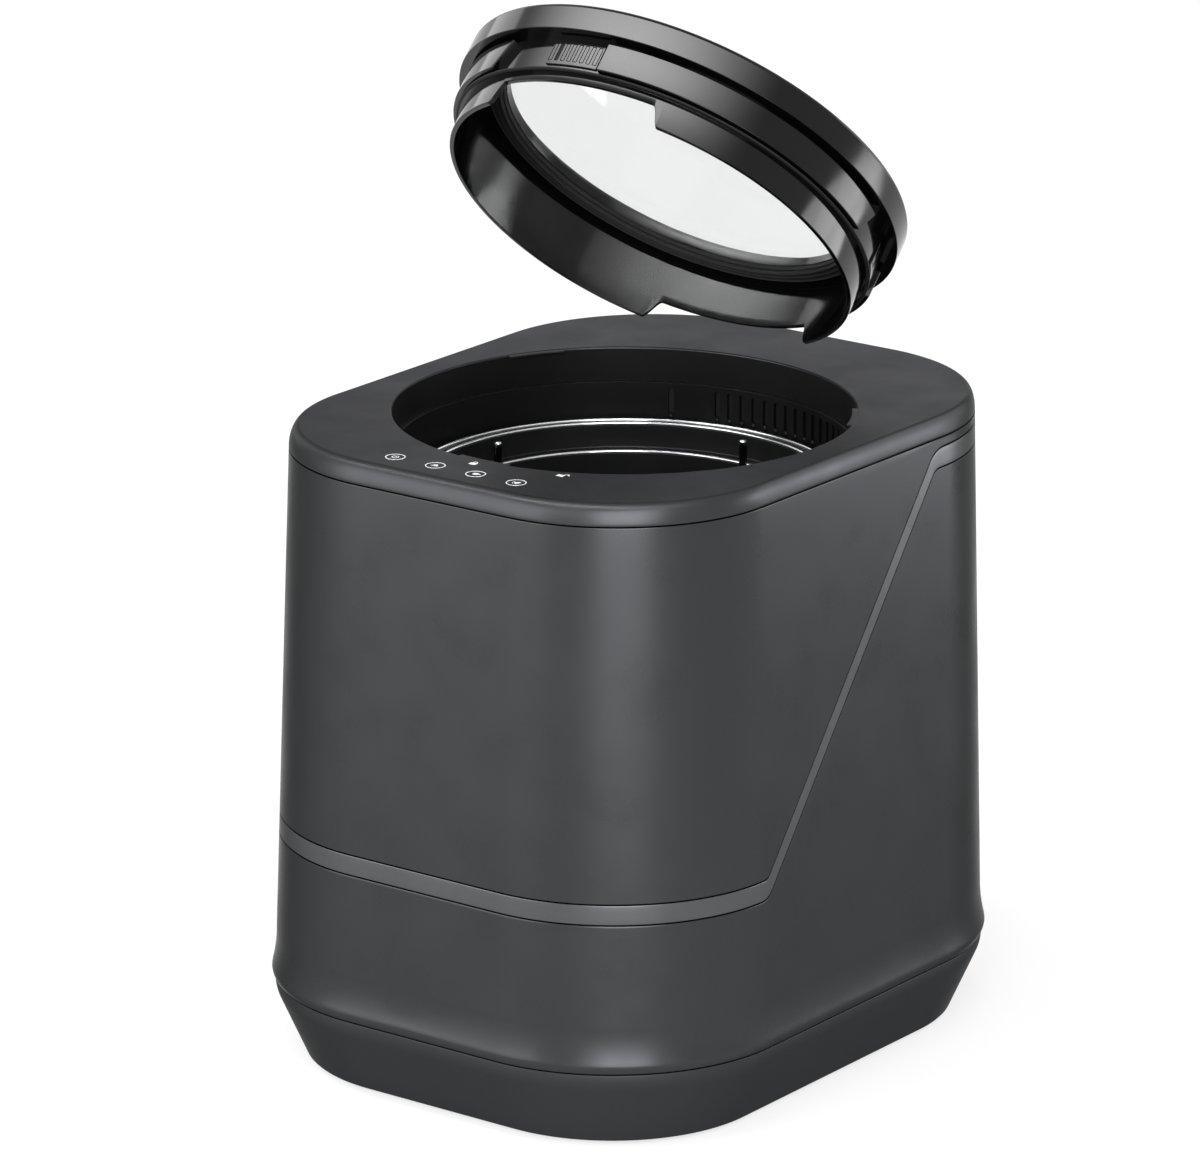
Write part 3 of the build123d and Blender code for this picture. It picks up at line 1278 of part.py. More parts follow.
def make_window_frame():
    """Ring that carries the window, inside the turning ring."""
    outer = COLLAR_INSIDE - TURN_GAP
    under = depth(WINDOW_FRAME_HEIGHT)
    seat = depth(GLASS_DROP + GLASS_THICKNESS)
    return turned(
        [
            (WINDOW_FRAME_IN, under),
            (outer, under),
            (outer, LID_TOP),
            (WINDOW_SEAT, LID_TOP),
            (WINDOW_SEAT, seat),
            (WINDOW_FRAME_IN, seat),
        ]
    )


def make_glass():
    top = depth(GLASS_DROP)
    return rod(WINDOW_SEAT - 0.1, top - GLASS_THICKNESS, top)


def make_gasket():
    """Rubber ring under the window frame with three raised ridges."""
    top = depth(WINDOW_FRAME_HEIGHT)
    base = tube(WINDOW_FRAME_IN + 0.3, COLLAR_INSIDE - TURN_GAP - 0.4, top - 2, top)
    first = WINDOW_FRAME_IN + 1.6
    for k in range(GASKET_RIDGES):
        middle = first + GASKET_PITCH * k
        base += tube(middle - GASKET_RIDGE / 2, middle + GASKET_RIDGE / 2, top - 4, top - 1.5)
    return base


# ================================================================ write
def main():
    os.makedirs("parts", exist_ok=True)
    lower, panel, strip = make_shells()
    nodes = {
        "base_pan": make_base(),
        "rubber_feet": make_feet(),
        "frame_plate": make_frame(),
        "frame_screws": make_frame_screws(),
        "lower_shell": lower,
        "front_panel": panel,
        "trim_strip": strip,
        "top_cover": make_cover(),
        "touch_marks": make_touch_marks(),
        "touch_board": make_touch_board(),
        "touch_springs": make_touch_springs(),
        "chamber_liner": make_chamber(),
        "insulation_wrap": make_wrap(),
        "heating_plate": make_heating_plate(),
        "heating_element": element_ring(),
        "temperature_sensor": make_sensor(),
        "main_board": make_main_board(),
        "board_parts": make_board_parts(),
        "power_inlet": make_inlet(),
        "inlet_pins": make_inlet_pins(),
        "gearbox_case": make_gearbox(),
        "gearbox_cover": make_gearbox_cover(),
        "gearbox_screws": make_gearbox_screws(),
        "output_bearing": make_bearing(),
        "idler_pin": make_idler_pin(),
        "motor_can": make_motor(),
        "filter_case": make_filter_housing(),
        "exhaust_duct": make_duct(),
        "rear_grille": make_grille(),
        "fan_frame": make_fan_frame(),
        "fan_impeller": make_impeller(),
        "output_shaft": make_output_shaft(),
        "output_gear": make_output_gear(),
        "idler_gear": gear(IDLER_TEETH, IDLER_PIN + RUNNING, False, IDLER_Y),
        "motor_pinion": gear(PINION_TEETH, MOTOR_SHAFT, True, MOTOR_Y),
        "motor_shaft": make_motor_shaft(),
        "motor_rotor": make_rotor(),
        "filter_cover": make_filter_cover(),
        "filter_tray": make_filter_tray(),
        "filter_cartridge": make_cartridge(),
        "bucket": make_bucket(),
        "bucket_rim_bead": bead(RIM_RADIUS - BEAD_INSET, BUCKET_RIM),
        "bucket_neck_bead": bead(NECK_RADIUS + BEAD_INSET, BUCKET_RIM),
        "bucket_step_bead": bead(BUCKET_RADIUS + BEAD_INSET, BUCKET_STEP),
        "shear_posts": make_posts(),
        "shaft_bush": make_bush(),
        "shaft_seal": make_shaft_seal(),
        "bucket_handle": make_handle(),
        "handle_grip": make_grip(),
        "agitator_shaft": make_agitator_shaft(),
        "agitator_arms": make_arms(),
        "agitator_cap": make_agitator_cap(),
        "lid_band": raised(make_band()),
        "lid_collar": raised(make_collar()),
        "lid_vent_plates": Compound(children=[raised(p) for p in make_vent_plates()]),
        "lid_seal": raised(make_seal()),
        "window_frame": raised(make_window_frame()),
        "window_glass": raised(make_glass()),
        "window_gasket": raised(make_gasket()),
    }
    for node, shape in nodes.items():
        save(shape, node)


main()
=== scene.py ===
"""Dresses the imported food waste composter: smooth shells, lid, bucket, marks, finishes and studio.

Metres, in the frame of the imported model: origin on the floor under the base, +Y to the rear.
"""

import json
import math

import bmesh
import bpy
from bpy.props import FloatProperty, FloatVectorProperty, IntProperty, PointerProperty
from mathutils import Matrix, Quaternion, Vector


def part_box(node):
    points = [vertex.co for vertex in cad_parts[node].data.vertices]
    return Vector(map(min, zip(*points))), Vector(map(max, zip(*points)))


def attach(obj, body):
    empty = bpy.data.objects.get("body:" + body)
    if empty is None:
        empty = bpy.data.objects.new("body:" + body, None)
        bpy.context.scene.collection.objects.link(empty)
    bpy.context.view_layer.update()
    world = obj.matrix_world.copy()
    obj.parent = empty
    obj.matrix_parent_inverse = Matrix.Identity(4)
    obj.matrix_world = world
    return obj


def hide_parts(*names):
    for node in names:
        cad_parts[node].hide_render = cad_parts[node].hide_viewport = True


bl_info = {
    "name": "Food waste composter",
    "version": (1, 0, 0),
    "blender": (4, 5, 0),
    "location": "View3D > Sidebar > Composter",
    "description": "Builds the shells, lid, bucket, marks, finishes and studio of a composter",
    "category": "Object",
}

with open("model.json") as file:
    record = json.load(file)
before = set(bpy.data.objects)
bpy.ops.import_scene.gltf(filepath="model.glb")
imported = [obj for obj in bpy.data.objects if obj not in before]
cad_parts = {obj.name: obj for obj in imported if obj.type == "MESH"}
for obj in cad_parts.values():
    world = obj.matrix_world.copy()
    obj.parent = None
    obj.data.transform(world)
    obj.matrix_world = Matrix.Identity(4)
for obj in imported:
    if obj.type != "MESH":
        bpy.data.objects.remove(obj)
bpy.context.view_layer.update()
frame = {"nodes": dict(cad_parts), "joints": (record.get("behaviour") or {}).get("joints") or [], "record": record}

MM = 0.001
FULL_TURN = 2 * math.pi
QUARTER_TURN = math.pi / 2
SHARP = math.radians(32)
COARSE_STEP = math.radians(1.5)
FINE_STEP = math.radians(0.75)
MERGE = 1e-6
BEVELLED = 0.3  # share of a rounding's size that is left at the middle of its arc
NODE_ROUND = 0.3 * MM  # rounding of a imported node's edges


def length(name, millimetres, description):
    return FloatProperty(
        name=name, description=description, default=millimetres * MM, unit="LENGTH", precision=5
    )


def angle(name, degrees, description):
    return FloatProperty(
        name=name, description=description, default=math.radians(degrees), subtype="ANGLE"
    )


def number(name, value, description):
    return FloatProperty(name=name, description=description, default=value)


def count(name, value, description):
    return IntProperty(name=name, description=description, default=value, min=1)


def colour(name, rgb, description):
    return FloatVectorProperty(
        name=name, description=description, default=rgb, size=3, min=0, max=1, subtype="COLOR"
    )


# ---------------------------------------------------------------- places read from the frame
def low(node):
    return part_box(node)[0]


def high(node):
    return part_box(node)[1]


HALF_WIDTH = high("lower_shell").x
HALF_DEPTH = high("lower_shell").y
TOP = high("top_cover").z
SHELL_LOW = low("lower_shell").z
SHELL_HIGH = high("front_panel").z
FOOT = low("base_pan").z
AXIS_Y = (low("bucket").y + high("bucket").y) / 2
BUCKET_FOOT = low("bucket").z
STEP = low("bucket_step_bead").z
LEDGE = high("chamber_liner").z


# ---------------------------------------------------------------- sizes and colours
class ComposterShell(bpy.types.PropertyGroup):
    """Outer form of the housing"""

    base_seam: length("Base joint", 38.4, "Height of the joint between base and shell")
    bulge: length("Widest line", 42.5, "Height of the widest line")
    waist: length("Waist", 61.0, "Height where the straight taper ends and the wall flares")
    cover_seam: length("Cover joint", 290.3, "Height of the joint under the top cover")
    seam: length("Joint gap", 0.5, "Open line between two pieces")
    flare: length("Flare", 2.4, "How far the waist lies inside the widest line")
    roll_in: length("Roll in", 1.6, "How far the base joint lies inside the widest line")
    base_chamfer: length("Base chamfer", 14.9, "How far the base draws in to its foot")
    base_lip: length("Base lip", 4.8, "Upright lip at the top of the base")
    base_soft: length("Base bend", 3.0, "Half height of the bend between lip and chamfer")
    side_taper: length("Side taper", 9.0, "Inset of the sides at the cover joint")
    front_taper: length("Front taper", 11.7, "Inset of the front at the cover joint")
    rear_taper: length("Rear taper", 7.5, "Inset of the rear at the cover joint")
    side_round: length("Side edge", 3.0, "How far the rounded edge of the cover draws in")
    front_round: length("Front edge", 6.3, "The same at the front")
    rear_round: length("Rear edge", 4.8, "The same at the rear")
    front_corner: length("Front corners", 89.9, "Radius of the front corners, in plan")
    rear_corner: length("Rear corners", 93.1, "Radius of the rear corners, in plan")
    wall: length("Wall", 2.4, "Thickness of the shells")
    edge: length("Edge rounding", 0.45, "Rounding of the edges along the joints")
    trim_low: length("Trim at the front", 108.2, "Lower edge of the trim round the front")
    trim_high: length("Trim at the rear", 276.0, "Lower edge of the trim along the rear")
    trim_height: length("Trim height", 9.5, "Height of the trim strip")
    trim_front_bend: length("Front bend", -71.0, "Where the trim starts to climb")
    trim_rear_bend: length("Rear bend", 64.0, "Where the trim stops climbing")
    inner_low_bend: length("Front bend, inside", 4.5, "Radius of the strip's upper edge there")
    outer_low_bend: length("Front bend, outside", 9.0, "Radius of the strip's lower edge there")
    inner_high_bend: length("Rear bend, inside", 8.0, "Radius of the strip's lower edge there")
    outer_high_bend: length("Rear bend, outside", 15.0, "Radius of its upper edge there")


class ComposterOpening(bpy.types.PropertyGroup):
    """Opening, chamber and bucket"""

    radius: length("Opening", 106.1, "Radius of the opening in the cover")
    collar: length("Collar wall", 2.4, "Wall of the collar round the opening")
    edge: length("Opening edge", 0.8, "Rounding of the edge of the opening")
    lug_reach: length("Lug reach", 2.5, "How far the three lugs stand into the opening")
    lug_height: length("Lug height", 1.2, "Thickness of the lugs")
    lug_drop: length("Lug drop", 0.2, "Lugs below the top of the cover")
    lug_angle: angle("Lug angle", 15.0, "Angle that a lug takes up")
    chamber: length("Chamber", 104.0, "Inside radius of the chamber")
    liner: length("Liner wall", 1.8, "Wall of the chamber")
    tip: length("Post tip", 2.5, "Height of the bright tips of the posts")
    # The posts' bright tips are a painted glint: steel colour standing in for the highlight on their rounded tops.
    slot_foot: length("Slot foot", 268.8, "Lower end of the vent slots")
    first_slot: angle("First slot", 48.0, "Direction of the first vent slot")
    slot_pitch: angle("Slot pitch", 3.6, "Angle from one vent slot to the next")
    slots: count("Slots", 16, "Vent slots in the row")
    bucket_radius: length("Bucket", 84.0, "Inside radius of the bucket")
    neck: length("Neck", 92.0, "Inside radius of the neck above the step")
    rim: length("Rim", 100.0, "Outside radius of the rim")
    wall: length("Bucket wall", 2.0, "Wall of the bucket")
    floor: length("Bucket floor", 3.0, "Floor of the bucket")
    bush: length("Bush", 12.0, "Radius of the bush in the floor")
    boss: length("Boss", 9.0, "Height of the boss round the bush")
    bead: length("Bead", 1.0, "Half width of the bright beads")


class ComposterLid(bpy.types.PropertyGroup):
    """Lid; heights are measured down from its top"""

    gap: length("Gap", 0.4, "Band above the cover when the lid is closed")
    band: length("Band radius", 108.8, "Outside radius of the band")
    band_height: length("Band height", 14.0, "Height of the band")
    band_round: length("Band edge", 2.4, "Rounding of the upper edge of the band")
    collar: length("Collar", 101.0, "Outside radius of the collar")
    inside: length("Inside", 97.0, "Inside radius of the collar")
    skirt: length("Skirt", 99.4, "Outside radius of the skirt")
    skirt_top: length("Skirt top", 32.3, "Where the skirt begins")
    short_edge: length("Short edge", 35.8, "Edge of the short part of the skirt")
    long_edge: length("Long edge", 46.1, "Edge of the long part of the skirt")
    short_from: angle("Short from", 247.0, "Where the short part begins")
    short_to: angle("Short to", 298.0, "Where the short part ends")
    pad: length("Pad radius", 104.6, "Outside radius of the locking pads")
    pad_top: length("Pad top", 16.0, "Upper edge of the pads")
    pad_foot: length("Pad foot", 30.2, "Lower edge of the pads")
    pad_from: angle("Pad from", 279.5, "Upright end of the first pad")
    pad_to: angle("Pad to", 368.5, "Slanted end of the first pad")
    plate: length("Slotted plate", 102.0, "Outside radius of the slotted plates")
    plate_angle: angle("Plate angle", 15.5, "Angle that a slotted plate takes up")
    plate_top: length("Plate top", 16.0, "Upper edge of the slotted plates")
    plate_foot: length("Plate foot", 28.9, "Lower edge of the slotted plates")
    plate_slots: count("Slots in a plate", 8, "Slots side by side in each plate")
    slot_width: length("Slot width", 2.3, "Outside width of a slot's groove")
    slot_height: length("Slot height", 9.5, "Outside height of a slot's groove")
    slot_line: length("Slot line", 0.42, "Width of the groove round a slot's land")
    seal_top: length("Seal top", 30.5, "Upper edge of the seal")
    seal_height: length("Seal height", 1.4, "Height of the seal")
    seal: length("Seal", 102.6, "Outside radius of the seal")
    seal_seat: length("Seal seat", 100.2, "Bottom of the groove of the seal")
    turn_gap: length("Turning gap", 0.4, "Gap between the ring and the window frame")
    window_in: length("Window frame", 87.0, "Inside radius of the window frame")
    window_seat: length("Window seat", 90.0, "Radius of the seat of the glass")
    window_height: length("Frame height", 9.0, "Height of the window frame")
    glass_drop: length("Glass drop", 1.2, "Glass below the top of the lid")
    glass: length("Glass", 3.0, "Thickness of the glass")


class ComposterMarks(bpy.types.PropertyGroup):
    """Printed marks on the cover"""

    height: length("Thickness", 0.12, "Thickness of the print")
    ring: length("Ring", 4.6, "Radius of the ring round each sign")
    line: length("Line", 0.45, "Width of the rings' line")
    first: length("First sign", -34.3, "Place of the first sign, to the left of the middle")
    last: length("Last sign", 33.5, "Place of the last sign")
    lock_circle: length("Lock circle", 111.4, "Circle that the lock marks stand on")
    lock_width: length("Lock width", 3.6, "Width of a lock mark")
    locked: angle("Locked", 270.0, "Direction of the closed lock")
    unlocked: angle("Unlocked", 292.4, "Direction of the open lock")


class ComposterFinish(bpy.types.PropertyGroup):
    """Colours of the finishes"""

    shell: colour("Shell", (0.0480, 0.0491, 0.0518), "Satin graphite of the shells")
    cover: colour("Cover", (0.0480, 0.0491, 0.0518), "Satin graphite of the top cover")
    base: colour("Base", (0.0440, 0.0450, 0.0474), "Matt charcoal of the base")
    trim: colour("Trim", (0.0940, 0.0960, 0.1006), "Satin paint of the trim strip")
    mark: colour("Marks", (0.80, 0.81, 0.82), "Printed marks")
    lid: colour("Lid", (0.002, 0.002, 0.0022), "Gloss black of the lid")
    inner: colour("Chamber", (0.005, 0.005, 0.0053), "Matt black inside")
    pot: colour("Bucket", (0.008, 0.008, 0.0085), "Coating of the bucket")
    steel: colour("Steel", (0.62, 0.63, 0.64), "Bright steel")


class ComposterStudio(bpy.types.PropertyGroup):
    """Camera and light"""

    azimuth: angle("Azimuth", 36.34, "Turn of the camera from the front to the right")
    elevation: angle("Elevation", 18.15, "Camera above the horizon")
    distance: length("Distance", 3495.0, "Camera to the point it was aimed at")
    aim_y: length("Aim, rearward", 25.0, "Aimed point behind the middle")
    aim_z: length("Aim, height", 145.2, "Height of the aimed point")
    lens: FloatProperty(name="Lens", description="Focal length", default=225.47, unit="CAMERA")
    view_side: number("View aside", -0.008715, "Middle of the view to the right of the aim")
    view_lift: number("View up", 0.01779, "Middle of the view above the aim")
    room: number("Room light", 0.32, "Level of the light from all sides")
    key: number("Key", 5.6, "Brightness of the softbox at the near corner")
    left: number("Left bank", 2.8, "Brightness of the softbox on the left")
    right: number("Right bank", 1.8, "Brightness of the softbox on the right")
    low: number("Low strip", 6.0, "Brightness of the small softbox on the floor at the right")
    rear: number("Rear bank", 1.0, "Brightness of the softbox behind, on the right")
    far: number("Far bank", 1.7, "Brightness of the softbox behind, on the left")
    arc: number("Arc", 27.0, "Brightness of the narrow bow of light overhead")
    arc_width: number("Arc width", 0.05, "How far the bow's light fades to each side")
    floor_tone: number("Floor tone", 0.32, "How pale the floor is")
    floor_glow: number("Floor glow", 0.7, "Share of the white that the floor shows by itself")


GROUPS = {
    "composter_shell": ComposterShell,
    "composter_opening": ComposterOpening,
    "composter_lid": ComposterLid,
    "composter_marks": ComposterMarks,
    "composter_finish": ComposterFinish,
    "composter_studio": ComposterStudio,
}


# ---------------------------------------------------------------- mesh helpers
def sizes(group):
    return getattr(bpy.context.scene, "composter_" + group)


def added(name, data):
    """New object of the scene."""
    thing = bpy.data.objects.new(name, data)
    bpy.context.scene.collection.objects.link(thing)
    return thing


def piece_from(bm, name, body, finish, replaced=()):
    """Turns a bmesh into a smooth, named piece that rides on a body."""
    bmesh.ops.remove_doubles(bm, verts=bm.verts, dist=MERGE)
    bmesh.ops.recalc_face_normals(bm, faces=bm.faces)
    mesh = bpy.data.meshes.new(name)
    bm.to_mesh(mesh)
    bm.free()
    mesh.polygons.foreach_set("use_smooth", [True] * len(mesh.polygons))
    mesh.set_sharp_from_angle(angle=SHARP)
    piece = added(name, mesh)
    piece.modifiers.new("Even normals", "WEIGHTED_NORMAL").keep_sharp = True
    mesh.materials.append(bpy.data.materials[finish])
    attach(piece, body)
    if replaced:
        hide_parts(*replaced)
    return piece


def soften(bm, width, segments=2, chosen=lambda edge: True):
    """Rounds the sharp edges, or those of them that are chosen."""
    edges = [
        edge
        for edge in bm.edges
        if len(edge.link_faces) == 2 and edge.calc_face_angle(0) > SHARP and chosen(edge)
    ]
    bmesh.ops.bevel(
        bm, geom=edges, offset=width, offset_type="OFFSET", segments=segments, profile=0.5,
        affect="EDGES", clamp_overlap=True, material=-1,
    )


def turned(profile, start=0.0, sweep=FULL_TURN, step=COARSE_STEP, centre=(0, AXIS_Y)):
    """Closed profile of (radius, height) points spun about an upright axis."""
    bm = bmesh.new()
    axis = Vector((*centre, 0))
    aim = Vector((math.cos(start), math.sin(start), 0))
    verts = [bm.verts.new(axis + aim * r + Vector((0, 0, z))) for r, z in profile]
    edges = [bm.edges.new(pair) for pair in zip(verts, verts[1:] + verts[:1])]
    whole = sweep >= FULL_TURN - MERGE
    bmesh.ops.spin(
        bm, geom=verts + edges, cent=axis, axis=(0, 0, 1), angle=sweep,
        steps=max(3, round(sweep / step)), use_merge=whole,
    )
    bmesh.ops.remove_doubles(bm, verts=bm.verts, dist=0.1 * MERGE)
    if not whole:
        rims = [edge for edge in bm.edges if edge.is_boundary]
        bmesh.ops.holes_fill(bm, edges=rims, sides=0)
    bmesh.ops.recalc_face_normals(bm, faces=bm.faces)
    return bm


def section(inner, outer, foot, top):
    """Square profile for a ring."""
    return [(inner, foot), (outer, foot), (outer, top), (inner, top)]


def next_ring(bm, ring, places):
    """Extrudes a closed ring of vertices and moves the new ring to its places."""
    edges = [bm.edges.get(pair) for pair in zip(ring, ring[1:] + ring[:1])]
    made = bmesh.ops.extrude_edge_only(bm, edges=edges)["geom"]
    fresh = {item for item in made if isinstance(item, bmesh.types.BMVert)}
    following = []
    for vert, place in zip(ring, places):
        others = (edge.other_vert(vert) for edge in vert.link_edges)
        new = next(other for other in others if other in fresh)
        new.co = place
        following.append(new)
    return following


def lofted(rings, capped=False):
    """Rings of places joined in order, capped at both ends or closed to a loop."""
    bm = bmesh.new()
    ring = bmesh.ops.create_circle(bm, segments=len(rings[0]), radius=1)["verts"]
    for vert, place in zip(ring, rings[0]):
        vert.co = place
    first = ring
    for places in rings[1:] if capped else rings[1:] + rings[:1]:
        ring = next_ring(bm, ring, places)
    if capped:
        bm.faces.new(first)
        bm.faces.new(ring)
    bmesh.ops.remove_doubles(bm, verts=bm.verts, dist=0.1 * MERGE)
    bmesh.ops.recalc_face_normals(bm, faces=bm.faces)
    return bm


def block(bm, centre, size, turn=0.0):
    """Box in a bmesh, turned about an upright axis through its centre."""
    place = Matrix.Translation(centre) @ Matrix.Rotation(turn, 4, "Z")
    bmesh.ops.create_cube(bm, size=1, matrix=place @ Matrix.Diagonal((*size, 1)))


def thickened(bm, depth):
    """Raises a flat outline to a thin solid."""
    made = bmesh.ops.extrude_face_region(bm, geom=bm.faces[:])["geom"]
    moved = [item for item in made if isinstance(item, bmesh.types.BMVert)]
    bmesh.ops.translate(bm, verts=moved, vec=(0, 0, depth))


def polar(radius, turn, height, centre=(0, AXIS_Y)):
    """Place at a radius and a direction round an upright axis."""
    x, y = centre
    return Vector((x + radius * math.cos(turn), y + radius * math.sin(turn), height))


def merged(parts):
    """One bmesh from several."""
    whole = bmesh.new()
    for bm in parts:
        mesh = bpy.data.meshes.new("part")
        bm.to_mesh(mesh)
        bm.free()
        whole.from_mesh(mesh)
        bpy.data.meshes.remove(mesh)
    return whole


def from_node(node, rounding=NODE_ROUND):
    """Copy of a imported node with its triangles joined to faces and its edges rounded."""
    bm = bmesh.new()
    bm.from_mesh(frame["nodes"][node].data)
    bmesh.ops.remove_doubles(bm, verts=bm.verts, dist=MERGE)
    flat = math.radians(0.5)
    bmesh.ops.dissolve_limit(bm, angle_limit=flat, verts=bm.verts, edges=bm.edges)
    if rounding:
        soften(bm, rounding)
    return bm


def dressed(rows, rounding=NODE_ROUND):
    """Pieces that keep their node's form; a row holds node, name, body, slot and finish."""
    for node, name, body, slot, finish in rows:
        piece_from(from_node(node, rounding), name, body, finish, [node])


def cut_away(piece, cutter):
    """Takes the cutter's shape out of a piece, and removes the cutter."""
    tool_mesh = bpy.data.meshes.new("cutter")
    cutter.to_mesh(tool_mesh)
    cutter.free()
    tool = added("cutter", tool_mesh)
    cut = piece.modifiers.new("Cut", "BOOLEAN")
    cut.operation = "DIFFERENCE"
    cut.solver = "EXACT"
    cut.object = tool
    piece.modifiers.move(len(piece.modifiers) - 1, 0)
    bpy.context.view_layer.update()
    graph = bpy.context.evaluated_depsgraph_get()
    mesh = bpy.data.meshes.new_from_object(piece.evaluated_get(graph))
    piece.modifiers.remove(cut)
    piece.data = mesh
    mesh.name = piece.name
    mesh.set_sharp_from_angle(angle=SHARP)
    bpy.data.objects.remove(tool)


# ---------------------------------------------------------------- the housing's form
FLAT_STEPS = 12
CORNER_STEPS = 72
SIDE_STEPS = 160
ROUNDS = 6  # after which the height and the inset of a sloping line agree
FOOT_EDGE = ((0.0, 1.6 * MM), (0.3 * MM, 0.5 * MM), (1.2 * MM, 0.0))  # height and inset
LAP = 6 * MM  # how far the hidden lip of a level joint reaches past it
TRIM_LAP = 4 * MM
LAP_OUTSIDE = 0.1 * MM  # faces of a hidden lip, from the inside of the wall
LAP_INSIDE = 1.9 * MM
LEVEL_BELOW_TRIM = 12 * MM  # where the lower shell's rows start to follow the trim
REAR_PLAY = {"filter_cover": 0.5 * MM, "rear_grille": 0.2 * MM, "power_inlet": 0.2 * MM}
REAR_CUT = 60 * MM  # depth of the cuts in the rear wall
REAR_ROUND = 0.35 * MM
LUG_TURNS = [math.radians(turn) for turn in (30, 150, 270)]
LUG_ROUND = 0.35 * MM


def stations():
    """Places round the footprint: which of its eight runs, and how far along it."""
    steps = [FLAT_STEPS, CORNER_STEPS, SIDE_STEPS, CORNER_STEPS] * 2
    return [(run, k / steps[run]) for run in range(8) for k in range(steps[run])]


STATIONS = stations()


def footprint_point(shell, run, along, insets, inward):
    """A point of the rounded footprint, drawn in by the insets of its sides, front and rear."""
    side, front, rear = (inset + inward for inset in insets)
    right = HALF_WIDTH - side
    near = shell.front_corner - side
    far = shell.rear_corner - side
    near_y = front - HALF_DEPTH + near
    far_y = HALF_DEPTH - rear - far
    mirrored = run > 4
    sign = -1 if mirrored else 1
    if run == 0:
        return (right - near) * (2 * along - 1), near_y - near
    if run == 4:
        return (right - far) * (1 - 2 * along), far_y + far
    share = 1 - along if mirrored else along
    if run in (2, 6):
        return sign * right, near_y + (far_y - near_y) * share
    quarter = share * QUARTER_TURN
    if run in (1, 7):
        x = right - near + near * math.sin(quarter)
        return sign * x, near_y - near * math.cos(quarter)
    x = right - far + far * math.cos(quarter)
    return sign * x, far_y + far * math.sin(quarter)


def insets_at(shell, z):
    """How far the side, front and rear lie inside the widest line at a height."""
    if z <= shell.base_seam:
        knee = shell.base_seam - shell.base_lip
        below, soft = knee - z, shell.base_soft
        if abs(below) < soft:
            below = (below + soft) ** 2 / (4 * soft)
        inset = shell.roll_in + shell.base_chamfer * max(0, below / knee)
        return inset, inset, inset
    if z <= shell.bulge:
        share = (shell.bulge - z) / (shell.bulge - shell.base_seam)
        return (shell.roll_in * share**2,) * 3
    if z <= shell.waist:
        share = (shell.waist - z) / (shell.waist - shell.bulge)
        return (shell.flare * (1 - share**2),) * 3
    share = (z - shell.waist) / (shell.cover_seam - shell.waist)
    tapers = (shell.side_taper, shell.front_taper, shell.rear_taper)
    return tuple(shell.flare + (taper - shell.flare) * share for taper in tapers)


def at(z):
    """A level line."""
    return lambda y: z


def wall_ring(shell, level, inward=0.0):
    """Ring of places on the wall, on a line whose height may change from front to rear."""
    ring = []
    for run, along in STATIONS:
        z = level(0.0)
        for _ in range(ROUNDS):
            x, y = footprint_point(shell, run, along, insets_at(shell, z), inward)
            z = level(y)
        ring.append(Vector((x, y, z)))
    return ring


def rings_of(shell, rows):
    """Rings on the wall, one for each row of a line and an inset."""
    return [wall_ring(shell, line, inward) for line, inward in rows]


def trim_line(shell, rise, front_bend, rear_bend):
    """The trim's lower edge raised by rise, with its two bends rounded."""
    y0, y1 = shell.trim_front_bend, shell.trim_rear_bend
    z0, z1 = shell.trim_low + rise, shell.trim_high + rise
    climb = math.atan2(z1 - z0, y1 - y0)
    reach0 = front_bend * math.tan(climb / 2)
    reach1 = rear_bend * math.tan(climb / 2)

    def level(y):
        if y <= y0 - reach0:
            return z0
        if y < y0 + reach0 * math.cos(climb):
            return z0 + front_bend - math.sqrt(front_bend**2 - (y - y0 + reach0) ** 2)
        if y <= y1 - reach1 * math.cos(climb):
            return z0 + (y - y0) * math.tan(climb)
        if y < y1 + reach1:
            return z1 - rear_bend + math.sqrt(rear_bend**2 - (y1 + reach1 - y) ** 2)
        return z1

    return level


def raised(line, rise):
    """A line moved up."""
    return lambda y: line(y) + rise


def between(bottom, top, share):
    """The line at a share of the way from one line up to another."""
    return lambda y: bottom(y) + (top(y) - bottom(y)) * share


def edge_rows(shell, line, up, outside, inside):
    """Rows from a wall's outside round its upper edge (up = 1) or its lower one (up = -1)."""
    edge = shell.edge
    return [
        (raised(line, -up * edge), outside),
        (raised(line, -up * BEVELLED * edge), outside + BEVELLED * edge),
        (line, outside + edge),
        (line, inside),
    ]


def wall_rings(shell, bottom, top, shares, outside=0.0, inside=None):
    """Rings up the outside of a wall, over its top edge, and down its inside."""
    inside = shell.wall if inside is None else inside
    middle = [between(bottom, top, share) for share in shares]
    rows = edge_rows(shell, bottom, -1, outside, inside)[::-1]
    rows += [(line, outside) for line in middle]
    rows += edge_rows(shell, top, 1, outside, inside)
    rows += [(line, inside) for line in reversed(middle)]
    return rings_of(shell, rows)


def lap(shell, bottom, top):
    """Hidden lip inside a joint, which the wall across the joint slides over."""
    outside, inside = shell.wall + LAP_OUTSIDE, shell.wall + LAP_INSIDE
    return lofted(wall_rings(shell, bottom, top, [0.5], outside, inside))


def cover_ring(shell, turn, inward=0.0, drop=0.0):
    """Ring on the cover's rounded edge: turn 0 at its joint, a quarter turn at its flat top."""
    drawn_in = 1 - math.cos(turn)
    rounds = (shell.side_round, shell.front_round, shell.rear_round)
    insets = insets_at(shell, shell.cover_seam)
    insets = tuple(inset + extent * drawn_in for inset, extent in zip(insets, rounds))
    z = shell.cover_seam + (TOP - shell.cover_seam) * math.sin(turn) - drop
    return [
        Vector((*footprint_point(shell, run, along, insets, inward), z))
        for run, along in STATIONS
    ]


def circle_ring(like, radius, z):
    """Ring on a circle round the opening's axis, in step with another ring."""
    turns = [math.atan2(place.y - AXIS_Y, place.x) for place in like]
    return [polar(radius, turn, z) for turn in turns]


